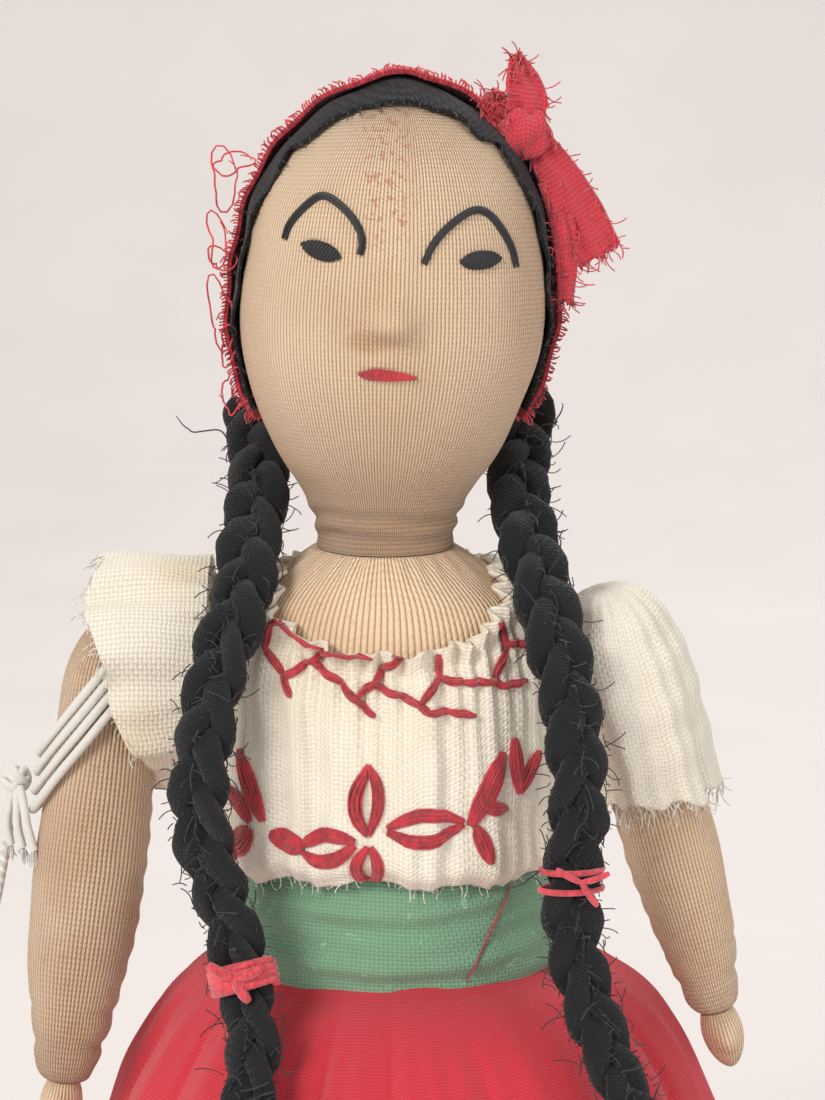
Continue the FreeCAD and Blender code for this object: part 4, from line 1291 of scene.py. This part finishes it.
def make_blouse():
    count = sizes().gather_count
    angle = np.linspace(0, FULL_TURN, 481) + math.pi / 2
    down = np.linspace(0, 1, 92)[:, None]
    _, deep, forward = blouse_at(np.full(angle.shape, 143.0))
    front_y = forward + deep * np.sin(angle)
    scallop = 0.55 * np.abs(np.sin(angle * 9 + 0.6 * np.sin(angle * 3))) + 0.25 * np.sin(angle * 31)
    top = np.minimum(143.9 + (front_y + 14.2) * math.tan(math.radians(28.0)) + 5.2 *
                     np.clip(np.abs(np.cos(angle)) - 0.25, 0, 1) ** 1.6, 151.6) + scallop
    low = 120.2 + 0.9 * np.sin(angle * 3 + 0.5) + 0.5 * np.sin(angle * 11 + 1.0)
    z = top + (low - top) * down
    wide, deep, forward = blouse_at(z)
    fold = np.sin(angle * count + 1.5 * np.sin(angle * 7) + 0.8 * np.sin(angle * 13 + 2) + z * 0.10)
    broad = np.sin(angle * 13 + 0.9 * np.sin(angle * 5) + 1.0)
    from_top = top - z
    from_low = z - low
    ripple = 0.62 * np.exp(-(from_top / 8.0)) * fold + 0.30 * np.exp(-(from_low / 6.5)) * np.sin(
        angle * count * 0.8 + 1.2 * np.sin(angle * 9)) + 0.22 * broad
    frill = (0.75 * np.exp(-(from_top / 0.9)) * (0.7 + 0.6 * fold)
             - 0.35 * np.exp(-((from_top - 2.0) / 0.8) ** 2))
    tuck = -1.15 * np.exp(-(from_low / 1.1) ** 2)
    extra = ripple + frill + tuck
    x = (wide + extra) * np.cos(angle)
    y = forward + (deep + extra) * np.sin(angle)
    grid = np.stack([x, y, z], -1)
    out = np.stack([np.cos(angle) + 0 * z, np.sin(angle) + 0 * z, 0 * z], -1)
    grid += out * 0.28 * lumps(grid, 24, 0.07)[..., None]
    creases = np.maximum(0, lumps(grid * [1, 1, 0.55], 25, 0.11)) ** 2
    grid += out * 0.45 * creases[..., None]
    grid[..., 0] = np.clip(grid[..., 0], -19.4, 19.4)
    grid[:, -1] = grid[:, 0]
    across = (angle - angle[0]) * WAIST_HALF_WIDTH
    piece = grid_piece("blouse_cloth", grid, blouse_muslin(), cloth_uv(grid, across), 0.4)
    keep_skin("blouse", piece)
    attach(piece, "torso")
    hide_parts("blouse")
    edges = fray("blouse_edge_threads", [grid[-1]], cream_fibre(), 130, 0.0012, (0, 0, -1.0), 0.7,
                 0.00006, 3)
    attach(edges, "torso")


def make_embroidery():
    radius = threads_of().floss_radius
    lines = []
    for row in FEATHER_STITCHES:
        for start, end in zip(row, row[1:]):
            start, end = np.array(start), np.array(end)
            over = (end - start) / np.linalg.norm(end - start) * 0.22
            lines += strands("blouse", [start - over, (start + end) / 2, end + over], 0.26, 3, 0.16)
    feather = sew("neckline_floss", lines, radius, red_floss(), 0.35)
    petals = []
    for line, half in PETALS:
        petals += strands("blouse", line, half, max(3, int(half * 2 / 0.3) + 1), 0.14)
    flowers = sew("flower_floss", petals, radius, red_floss(), 0.4)
    for piece, node in ((feather, "neckline_stitches"), (flowers, "flower_embroidery")):
        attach(piece, "torso")
        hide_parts(node)


def satin(name, centre, half_width, half_height, tilt, lift, slanted=0.35, rows=11, taper_right=0.0):
    """Short threads side by side that fill an oval."""
    turn = math.radians(tilt)
    lines = []
    for share in np.linspace(-1, 1, rows):
        along = share * half_width
        high = half_height * math.sqrt(max(0.06,
                                           1 - share * share)) * (1 - taper_right * (share + 1) / 2)
        pair = []
        for sign in (-1, 0, 1):
            a, b = along + sign * slanted * half_height * 0.5, sign * high
            x = centre[0] + a * math.cos(turn) - b * math.sin(turn)
            z = centre[1] + a * math.sin(turn) + b * math.cos(turn)
            pair.append(front_of(name, x, z,
                                 lift + 0.16 * (1 - abs(sign)) * math.sqrt(1 - share * share * 0.9)))
        lines.append(rounded(pair, 2))
    return lines


def make_face():
    radius = threads_of().floss_radius
    brows = []
    for brow in BROWS:
        brows += strands("head", brow, 0.2, 3, 0.14, pointed=False)
    eyes = []
    for place, tilt in EYES:
        eyes += satin("head", place, 1.9, 0.95, tilt, 0.15, rows=13)
    mouth = satin("head", MOUTH[0], 2.5, 0.82, MOUTH[1], 0.15, slanted=1.0, rows=17, taper_right=0.6)
    for name, lines, finish, slot_name, node in (
            ("brow_floss", brows, black_floss(), "black_floss", "brow_stitches"),
            ("eye_floss", eyes, black_floss(), "black_floss", "eye_stitches"),
            ("mouth_floss", mouth, red_floss(), "red_floss", "mouth_stitches")):
        piece = sew(name, lines, radius, finish, 0.3)
        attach(piece, "head")
        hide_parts(node)


def head_wrap(grow, edge_y, slant, low_z, ragged, seed, notches=()):
    """A shell over the back of the head: (grid, front edge). Columns run round the face opening."""
    turn = np.linspace(0, FULL_TURN, 421) - math.pi / 2
    steep = np.linspace(math.pi, 0.9, 260)[:, None]
    direction = np.stack([np.sin(steep) * np.cos(turn), -np.cos(steep) + 0 * turn,
                          np.sin(steep) * np.sin(turn)],
                         -1)
    surface = head_reach(direction, grow)
    chance = np.random.default_rng(seed)
    jag = sum(np.sin(turn * k + chance.uniform(0, FULL_TURN)) / (1 + 0.05 * k) for k in (5, 9, 14, 23,
                                                                                         37, 53, 71))
    jag = jag / 3.2 * ragged
    for place, width, depth in notches:
        jag += depth * np.exp(-((np.angle(np.exp(1j * (turn - place)))) / width) ** 2)
    front = -edge_y + math.tan(math.radians(slant)) * (CROWN_Z - surface[..., 2]) + jag
    kept_rows = (surface[..., 1] >= front) & (surface[..., 2] >= low_z + jag * 0.6)
    first_out = np.where(kept_rows.all(0), len(steep) - 1, np.argmin(kept_rows, 0) - 1)
    first_out = np.maximum(first_out, 2)
    start = steep[first_out, 0]
    share = np.linspace(0, 1, 90)[:, None]
    polar = start + (math.pi - start) * share
    direction = np.stack([np.sin(polar) * np.cos(turn), -np.cos(polar), np.sin(polar) * np.sin(turn)],
                         -1)
    grid = head_reach(direction, grow)
    centre = np.array([head_middle(HEAD_CENTRE_Z), 0, HEAD_CENTRE_Z])
    out = direction
    wrinkle = 0.20 * lumps(grid, seed + 1,
                           0.09) + 0.16 * np.sin(turn * 17 + 3 * share) * np.exp(-share * 7)
    grid = grid + out * wrinkle[..., None]
    grid[:, -1] = grid[:, 0]
    grid[-1] = grid[-1].mean(0)
    return grid, grid[0], (grid[0] - centre)


def wrap_uv(grid):
    """Cloth coordinates that don't pinch at the back of the head."""
    return np.stack([grid[..., 0] + 0.35 * grid[..., 1], grid[..., 2] - 0.2 * grid[..., 1]], -1) * MM


def make_cap_and_scarf():
    notches = ((math.radians(128), 0.05, 0.9), (math.radians(162), 0.05, 0.7),
               (math.radians(60), 0.07, -1.0),
               (math.radians(52), 0.04, 1.0))
    grid, edge, _ = head_wrap(0.75, 6.6, 10.5, 168.6, 0.5, 41, notches)
    cap = grid_piece("cap_cloth", grid, black_cloth(), wrap_uv(grid), 0.35)
    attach(cap, "head")
    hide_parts("hair_cap")
    fuzz = fray("cap_edge_threads", [edge[::2]], black_fibre(), 260, 0.0011, (0, -0.9, 0), 0.9,
                0.00006, 6)
    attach(fuzz, "head")

    grid, edge, out = head_wrap(1.75, 2.3, 8.0, 167.2, 0.55, 45)
    scarf = grid_piece("scarf_cloth", grid, red_cloth(), wrap_uv(grid), 0.45)
    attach(scarf, "head")
    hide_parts("head_scarf")
    chance = np.random.default_rng(52)
    threads = []
    for k in range(0, len(edge) - 1, 1):
        if edge[k][2] < 172 and edge[k][1] > 8:
            continue
        away = out[k] * [1, 0.15, 1] / np.linalg.norm(out[k])
        along = edge[(k + 3) % len(edge)] - edge[k]
        along /= max(np.linalg.norm(along), 1e-6)
        reach = chance.uniform(0.25, 1.0)
        lean = along * chance.uniform(-0.6, 1.3)
        threads.append(np.array([edge[k] - away * 0.2,
                                 edge[k] + away * reach * 0.5 + lean * 0.2 + (0, -0.3, 0),
                                 edge[k] + away * reach * 0.8 + lean * reach + (0, -0.25, 0)]))
    for x, z, wide, high in ((-17.2, 193.0, 1.5, 2.4), (-16.4, 194.6, 1.9, 1.0),
                             (-18.0, 186.6, 1.0, 2.2),
                             (-17.6, 184.8, 1.3, 1.1), (-17.8, 179.0, 1.2, 3.2),
                             (-16.9, 175.4, 1.0, 1.7),
                             (-16.3, 170.6, 1.2, 2.6)):
        a = np.linspace(0.4, FULL_TURN * 1.15, 26)
        bend = 1 + 0.30 * np.sin(2.0 * a + z) + 0.2 * np.sin(3.7 * a + x)
        threads.append(np.stack([x + wide * bend * np.cos(a) + 0.4 * np.sin(a * 2.3),
                                 0.6 + 0.7 * np.sin(a),
                                 z + high * bend * np.sin(a)], 1))
    fringe = sew("scarf_fringe", threads, 0.00011, red_fibre(), 0.4, 5)
    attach(fringe, "head")


def ribbon(line, widths, ripple, seed):
    """A strip of cloth along a line, with its edges curled."""
    line = spaced(rounded(line, 3), 40)
    widths = np.interp(np.linspace(0, 1, 40), np.linspace(0, 1, len(widths)), widths)
    along = np.gradient(line, axis=0)
    along /= np.linalg.norm(along, axis=1)[:, None]
    side = np.cross(along, FORWARD)
    side /= np.linalg.norm(side, axis=1)[:, None]
    across = np.linspace(-1, 1, 21)
    grid = line[:, None] + side[:, None] * (widths[:, None] * across)[..., None]
    wave = ripple * np.sin(across * 5.0 + np.linspace(0, 2.5, 40)[:, None]) + 0.4 * lumps(grid, seed,
                                                                                          0.12)
    grid += np.array(FORWARD) * wave[..., None]
    jag = np.random.default_rng(seed).uniform(-0.5, 0.5, 21)
    grid[-1] += along[-1] * jag[:, None]
    return grid


def make_bow():
    y = -1.4
    parts = []
    rims = []
    for name, line, widths, seed in (
            ("upper", [(14.2, y, 198.6), (14.6, y - 0.3, 201.0), (13.9, y, 203.4),
                       (13.3, y + 0.3, 205.6)],
             (1.4, 2.0, 1.5, 0.35), 71),
            ("lower", [(15.2, y, 197.4), (17.6, y - 0.6, 194.0), (19.8, y - 0.4, 190.0),
                       (22.3, y, 185.2)],
             (1.5, 1.9, 2.3, 2.3), 72),
            ("side", [(16.6, y + 0.4, 193.0), (18.2, y, 189.0), (18.8, y, 185.0),
                      (18.7, y + 0.4, 180.4)],
             (1.0, 1.3, 1.2, 0.8), 73),
            ("left", [(13.6, y + 0.3, 198.6), (11.6, y - 0.2, 200.0), (10.4, y + 0.2, 201.6)],
             (1.2, 1.6, 1.0),
             74)):
        grid = ribbon(line, widths, 0.35, seed)
        parts.append(grid_piece(name, grid, red_cloth()))
        rims += [grid[:, 0], grid[:, -1], grid[-1]]
    a = np.linspace(0, math.pi, 26)[:, None]
    b = np.linspace(0, FULL_TURN, 37)
    ball = np.stack([np.sin(a) * np.cos(b), np.sin(a) * np.sin(b), np.cos(a) + 0 * b], -1)
    size = 1 + 0.10 * np.sin(3 * b + 4 * a) + 0.07 * np.sin(7 * b)
    size[:, -1] = size[:, 0]
    knot = ball * size[..., None] * [2.6, 1.9, 2.5] + [14.3, y - 0.3, 197.9]
    parts.append(grid_piece("knot", knot, red_cloth()))
    for part in parts[:-1]:
        solid = part.modifiers.new("Cloth thickness", "SOLIDIFY")
        solid.thickness = 0.0004
        bpy.context.view_layer.update()
        graph = bpy.context.evaluated_depsgraph_get()
        made = bpy.data.meshes.new_from_object(part.evaluated_get(graph))
        part.modifiers.clear()
        part.data = made
    bow = joined("scarf_bow_cloth", parts, red_cloth())
    fuzz = fray("scarf_bow_threads", rims, red_fibre(), 26, 0.0016, (0.2, -0.2, -0.35), 1.0, 0.00008, 9)
    for piece in (bow, fuzz):
        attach(piece, "head")
    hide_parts("scarf_bow")


def make_arm(name):
    arm = ARMS[name]
    points = [(-arm["outline"][0][1], arm["cap"] * -0.62), (0.0, -arm["cap"] - 0.2)]
    points += [(radius, share * arm["length"]) for share, radius in arm["outline"]]
    points += [(arm["wrist"], arm["length"]), (0.0, arm["length"] + 0.15)]
    line = spaced(rounded(points), 240)
    line = line[line[:, 0] >= 0]
    line[0, 0] = 0.0
    line[-1, 0] = 0.0
    angle = np.linspace(0, FULL_TURN, 145)
    grid = np.stack([line[:, :1] * np.cos(angle), line[:, :1] * np.sin(angle),
                     line[:, 1:] + 0 * angle], -1)
    out = np.stack([np.cos(angle), np.sin(angle), 0 * angle], -1)
    away = np.angle(np.exp(1j * (angle - (0 if name == "right" else math.pi))))
    seam = np.exp(-(away / 0.09) ** 2)
    pucker = np.exp(-(away / 0.45) ** 2) * np.sin(line[:, 1:] * 2.1)
    swell = np.minimum(1.0, line[:, :1] / 3.0)
    grid += out * ((-0.38 * seam - 0.10 * pucker) * swell)[..., None]
    grid += out * (0.17 * lumps(grid, 81 if name == "right" else 82, 0.05) * swell)[..., None]
    end = arm["length"]
    crease = 0.30 * np.exp(-((line[:, 1:] - end + 4.2) / 0.7) ** 2) + 0.18 * np.exp(
        -((line[:, 1:] - end + 8.0) / 0.6) ** 2)
    grid -= out * (crease * (0.7 + 0.5 * np.sin(angle * 2 + 1)) * swell)[..., None]
    grid[:, -1] = grid[:, 0]
    across = angle * 5.6
    grid = moved(grid, arm_matrix(arm))
    finish = shaded_right_arm_knit() if name == "right" else left_arm_knit()
    piece = grid_piece(f"arm_{name}_skin", grid, finish, cloth_uv(grid, across))
    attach(piece, f"arm_{name}")
    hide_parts(f"arm_{name}_cover", f"arm_{name}_stuffing")

    share = np.linspace(0, 1, 60)[:, None]
    wide = 2.3 * np.sin(math.pi * np.clip(share * 0.80 + 0.20, 0, 1)) ** 0.55
    deep = 2.8 * np.sin(math.pi * np.clip(share * 0.80 + 0.20, 0, 1)) ** 0.55
    turn = np.linspace(0, FULL_TURN, 73)
    from_y = np.angle(np.exp(1j * (turn - math.pi / 2)))
    thumb = 1.25 * np.exp(-((share - 0.40) / 0.20) ** 2) * np.exp(-(from_y / 0.42) ** 2)
    cleft = 0.35 * np.exp(-((share - 0.64) / 0.05) ** 2) * np.exp(-(from_y / 0.5) ** 2)
    grow = np.minimum(1.0, 3 * (1 - share)) * (thumb - cleft)
    grid = np.stack([(wide + grow * 0.4) * np.cos(turn), (deep + grow) * np.sin(turn),
                     end + 0.05 + 7.1 * share + 0 * turn], -1)
    grid[-1] = grid[-1].mean(0)
    grid[:, -1] = grid[:, 0]
    grid = np.concatenate([np.repeat(grid[:1].mean(1, keepdims=True), 73, 1), grid])
    grid = moved(grid, arm_matrix(arm))
    hand = grid_piece(f"hand_{name}_skin", grid, hand_knit(), cloth_uv(grid, turn * 2.5))
    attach(hand, f"arm_{name}")
    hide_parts(f"hand_{name}")


def make_sleeves():
    """A flat gathered cap on the right, and a bell on the left."""
    turn = np.linspace(0, FULL_TURN, 361)
    share = np.linspace(0, 1, 60)[:, None]
    height = 12.1 + 1.0 * np.sin(share * math.pi / 2)
    depth = 9.2 + 1.2 * np.sin(share * math.pi / 2)
    ripple = (0.35 * np.exp(-share * 5) * np.sin(turn * 24 + 1.2 * np.sin(turn * 5))
              + 0.9 * share * np.sin(turn * 7 + 1.0) + 0.40 * share * np.sin(turn * 15 + 2))
    middle = NECK_Z - 13.4
    up = (height + ripple - 0.35) * np.sin(turn)
    up = up * (1 - 0.055 * share ** 3)
    hem_reach = 10.4 + 0.45 * np.sin(turn * 6) + up * math.tan(math.radians(17.0)) - 2.6 * np.clip(
        up / 12.5, 0, 1) ** 5
    reach = hem_reach * share
    grid = np.stack([-(ARMHOLE_X + 0.1 + reach), (depth + ripple - 0.35) * np.cos(turn), middle + up],
                    -1)
    grid += np.array([0.0, 1.0, 1.0]) * (0.25 * lumps(grid, 91, 0.08))[..., None]
    flap = np.exp(-((turn - 5.15) / 0.5) ** 2) * share
    grid[..., 1] -= 0.6 * flap
    grid[:, -1] = grid[:, 0]
    across = turn * 11.0
    uv = cloth_uv(grid, across)
    right = grid_piece("sleeve_right_cloth", grid, stained_and_shaded_muslin(), uv, 0.4)
    hem_right = fray("sleeve_right_threads", [grid[-1]], cream_fibre(), 110, 0.0016, (-0.5, 0, -0.7),
                     0.8,
                     0.00007, 12)
    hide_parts("sleeve_right")

    rows = rounded([(-6.85, 0.3, 0.3), (-6.6, 3.4, 4.2), (-4.6, 5.6, 6.8), (-1.0, 7.0, 8.5),
                    (6.0, 7.5, 9.2),
                    (12.0, 7.0, 8.7), (16.6, 6.7, 8.3)], 3)
    rows = spaced(rows, 80)
    share = np.linspace(0, 1, 80)[:, None]
    ripple = (0.30 * np.sin(turn * 19 + 1.1 * np.sin(turn * 4)) * np.exp(-share * 2.5)
              + 0.65 * share * np.sin(turn * 7 + 0.7) + 0.25 * share * np.sin(turn * 17 + 1))
    ripple = ripple * np.minimum(1, share * 5)
    a = rows[:, 1:2] + ripple - 0.2
    b = rows[:, 2:3] + ripple - 0.2
    hem = 0.9 * np.sin(turn * 2 + 0.4) + 0.5 * np.sin(turn * 9)
    grid = np.stack([a * np.cos(turn), b * np.sin(turn), rows[:, :1] + hem * share ** 2], -1)
    grid += np.array([1.0, 1.0, 0.0]) * (0.25 * lumps(grid, 95, 0.08))[..., None]
    grid[:, -1] = grid[:, 0]
    grid[0] = grid[0].mean(0)
    grid = moved(grid, arm_matrix(ARMS["left"]))
    grid[..., 0] = np.maximum(grid[..., 0], ARMHOLE_X + 0.1 + 0.02 * grid[..., 1])
    left = grid_piece("sleeve_left_cloth", grid, blouse_muslin(), cloth_uv(grid, turn * 8.2), 0.4)
    hem_left = fray("sleeve_left_threads", [grid[-1]], cream_fibre(), 150, 0.0022, (0.1, -0.1, -0.9),
                    0.8,
                    0.00008, 13)
    chance = np.random.default_rng(97)
    loose = []
    for _ in range(9):
        start = grid[-1][chance.integers(180, 350)]
        step = np.cumsum(chance.normal(size=(7, 3)) * 0.6 + [0.0, -0.05, -0.65], axis=0)
        loose.append(rounded(np.vstack([start, start + step]), 2))
    strays = sew("sleeve_left_strays", loose, 0.00009, cream_fibre(), 0.4, 5)
    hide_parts("sleeve_left")
    for piece, body in ((right, "arm_right"), (hem_right, "arm_right"), (left, "arm_left"),
                        (hem_left, "arm_left"), (strays, "arm_left")):
        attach(piece, body)


def make_sash():
    turn = np.linspace(0, FULL_TURN, 401) + math.pi / 2
    share = np.linspace(0, 1, 70)[:, None]
    z = 107.9 + 13.1 * share + 0 * turn
    wide, deep = torso_at(z)
    bulge = 0.85 * np.sin(math.pi * np.clip(share, 0, 1)) ** 0.7
    folds = 0.34 * np.sin(share * 13 + 1.3 * np.sin(turn * 2 + 0.6) + turn * 1.0) + 0.16 * np.sin(
        share * 27 + 2.1 * np.sin(turn * 3))
    ease = 1.55 + bulge + folds * np.minimum(1, 6 * np.minimum(share, 1 - share))
    x = (wide + ease) * np.cos(turn)
    y = (deep + ease) * np.sin(turn)
    grid = np.stack([x, y, z + 0.35 * np.sin(turn * 3 + 1) * (1 - share)], -1)
    grid += np.stack([np.cos(turn), np.sin(turn), 0 * turn], -1) * 0.2 * lumps(grid, 101, 0.08)[...,
                                                                                                None]
    grid[:, -1] = grid[:, 0]
    sash = grid_piece("sash_cloth", grid, sash_cloth(), cloth_uv(grid, (turn - turn[0]) * 17), 0.5)
    keep_skin("sash", sash)
    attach(sash, "torso")
    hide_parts("waist_sash")
    line = [front_of("sash", x, z, 0.25) for x,
            z in spaced([(12.8, 119.0), (11.0, 115.0), (8.2, 109.4)], 14)]
    thread = sew("sash_thread", [np.array(line)], 0.00012, red_floss(), 0.3)
    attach(thread, "torso")


def make_skirt():
    rows = rounded(SKIRT_OUTLINE, 3)
    rows = spaced(rows, 112)
    drop, spread, ratio = rows[:, :1], rows[:, 1:2], rows[:, 2:3]
    top = WAIST_HALF_WIDTH + SASH_REACH
    turn = np.linspace(0, FULL_TURN, 421) + math.pi / 2
    half = top + spread * (HEM_RADIUS - top)
    deep = half * ratio
    shift = SKIRT_SWAY * np.sin(math.pi * drop ** 0.36)
    cosine, sine = np.cos(turn), np.sin(turn)
    square = (cosine / half) ** 2 + (sine / deep) ** 2
    middle = shift * cosine / half ** 2
    reach = (middle + np.sqrt(middle ** 2 + square * (1 - (shift / half) ** 2))) / square
    count = sizes().pleat_count
    phase = (turn * count + 1.1 * np.sin(turn * 3 + 0.4) + 0.6 * np.sin(turn * 5 + 2.0)
             + 0.35 * np.sin(drop * 6))
    wave = np.abs(np.sin(phase / 2)) ** 0.6
    fine = np.sin(turn * count * 2.7 + 2.0 * np.sin(turn * 4))
    depth = (0.9 + (sizes().pleat_depth / MM - 0.9) * drop ** 0.55) * np.minimum(1, drop * 14 + 0.15)
    reach = reach - depth * (1 - wave) + 0.22 * fine * np.exp(-drop * 5) * np.minimum(1, drop * 20)
    height = WAIST_Z * (1 - drop) + 0 * turn
    tucked = np.array([[2.6], [1.2]])
    reach = np.concatenate([reach[:1] - tucked, reach])
    height = np.concatenate([height[:1] + [[1.6], [0.9]], height])
    drop = np.concatenate([[[0.0], [0.0]], drop])
    grid = np.stack([reach * cosine, reach * sine, height], -1)
    out = np.stack([cosine, sine, 0 * turn], -1)
    grid += out * (0.5 * lumps(grid, 111, 0.03) * np.minimum(1, drop * 6))[..., None]
    grid[:, -1] = grid[:, 0]
    across = (turn - turn[0]) * 60.0
    skirt = grid_piece("skirt_cloth_pleats", grid, skirt_cloth(), cloth_uv(grid, across), 0.7)
    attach(skirt, "torso")
    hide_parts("skirt")


# ---------------------------------------------------------------- operators

def operator(idname, label, words, *steps):
    """One operator that runs the given steps."""
    def execute(self, context):
        for step in steps:
            step()
        return {"FINISHED"}

    name = "PUPPET_OT_" + idname
    return type(name, (bpy.types.Operator,), {"bl_idname": "puppet." + idname, "bl_label": label,
                                              "bl_options": {"REGISTER", "UNDO"}, "__doc__": words,
                                              "execute": execute})


OPERATORS = [
    operator("stage", "Stage", "Adds the floor, the lights and the camera", make_stage),
    operator("braids", "Braids", "Plaits the two braids of torn black cloth and ties them",
             lambda: make_braid("right"), lambda: make_braid("left")),
    operator("string", "String", "Winds the white string round the right arm and hangs its tail",
             make_string),
    operator("head", "Head", "Makes the stuffed knit head with its nose", make_head),
    operator("face", "Face", "Stitches the brows, eyes and mouth", make_face),
    operator("cap", "Cap and scarf", "Lays the black cap and the frayed red scarf over the head",
             make_cap_and_scarf),
    operator("bow", "Bow", "Ties the scarf's bow", make_bow),
    operator("chest", "Body", "Makes the stuffed knit body and finishes the hidden pieces", make_chest),
    operator("blouse", "Blouse", "Gathers the muslin blouse", make_blouse),
    operator("embroidery", "Embroidery", "Sews the red feather stitching and flowers", make_embroidery),
    operator("arms", "Arms", "Makes the stuffed arms and mitten hands", lambda: make_arm("right"),
             lambda: make_arm("left")),
    operator("sleeves", "Sleeves", "Makes the cap sleeve and the bell sleeve", make_sleeves),
    operator("sash", "Sash", "Wraps the pale green sash", make_sash),
    operator("skirt", "Skirt", "Pleats the red skirt", make_skirt),
]


class PUPPET_PT_panel(bpy.types.Panel):
    """Sizes, colours and pieces of the puppet"""
    bl_label = "Cloth doll puppet"
    bl_idname = "PUPPET_PT_panel"
    bl_space_type = "VIEW_3D"
    bl_region_type = "UI"
    bl_category = "Puppet"

    def draw(self, context):
        for group in (context.scene.puppet_cloth, context.scene.puppet_threads,
                      context.scene.puppet_colours):
            box = self.layout.box()
            for name in group.__class__.__annotations__:
                box.prop(group, name)
        for made in OPERATORS:
            self.layout.operator(made.bl_idname)


GROUPS = {"puppet_cloth": PuppetClothSizes, "puppet_threads": PuppetThreadSizes,
          "puppet_colours": PuppetColours}


def register():
    for made in (*GROUPS.values(), *OPERATORS, PUPPET_PT_panel):
        bpy.utils.register_class(made)
    for name, group in GROUPS.items():
        setattr(bpy.types.Scene, name, PointerProperty(type=group))


def unregister():
    for name in GROUPS:
        delattr(bpy.types.Scene, name)
    for made in reversed((*GROUPS.values(), *OPERATORS, PUPPET_PT_panel)):
        bpy.utils.unregister_class(made)


def main():
    register()
    bpy.ops.puppet.stage()
    bpy.ops.puppet.braids()
    bpy.ops.puppet.string()
    bpy.ops.puppet.head()
    bpy.ops.puppet.face()
    bpy.ops.puppet.cap()
    bpy.ops.puppet.bow()
    bpy.ops.puppet.chest()
    bpy.ops.puppet.blouse()
    bpy.ops.puppet.embroidery()
    bpy.ops.puppet.arms()
    bpy.ops.puppet.sleeves()
    bpy.ops.puppet.sash()
    bpy.ops.puppet.skirt()


if __name__ == "__main__":
    main()
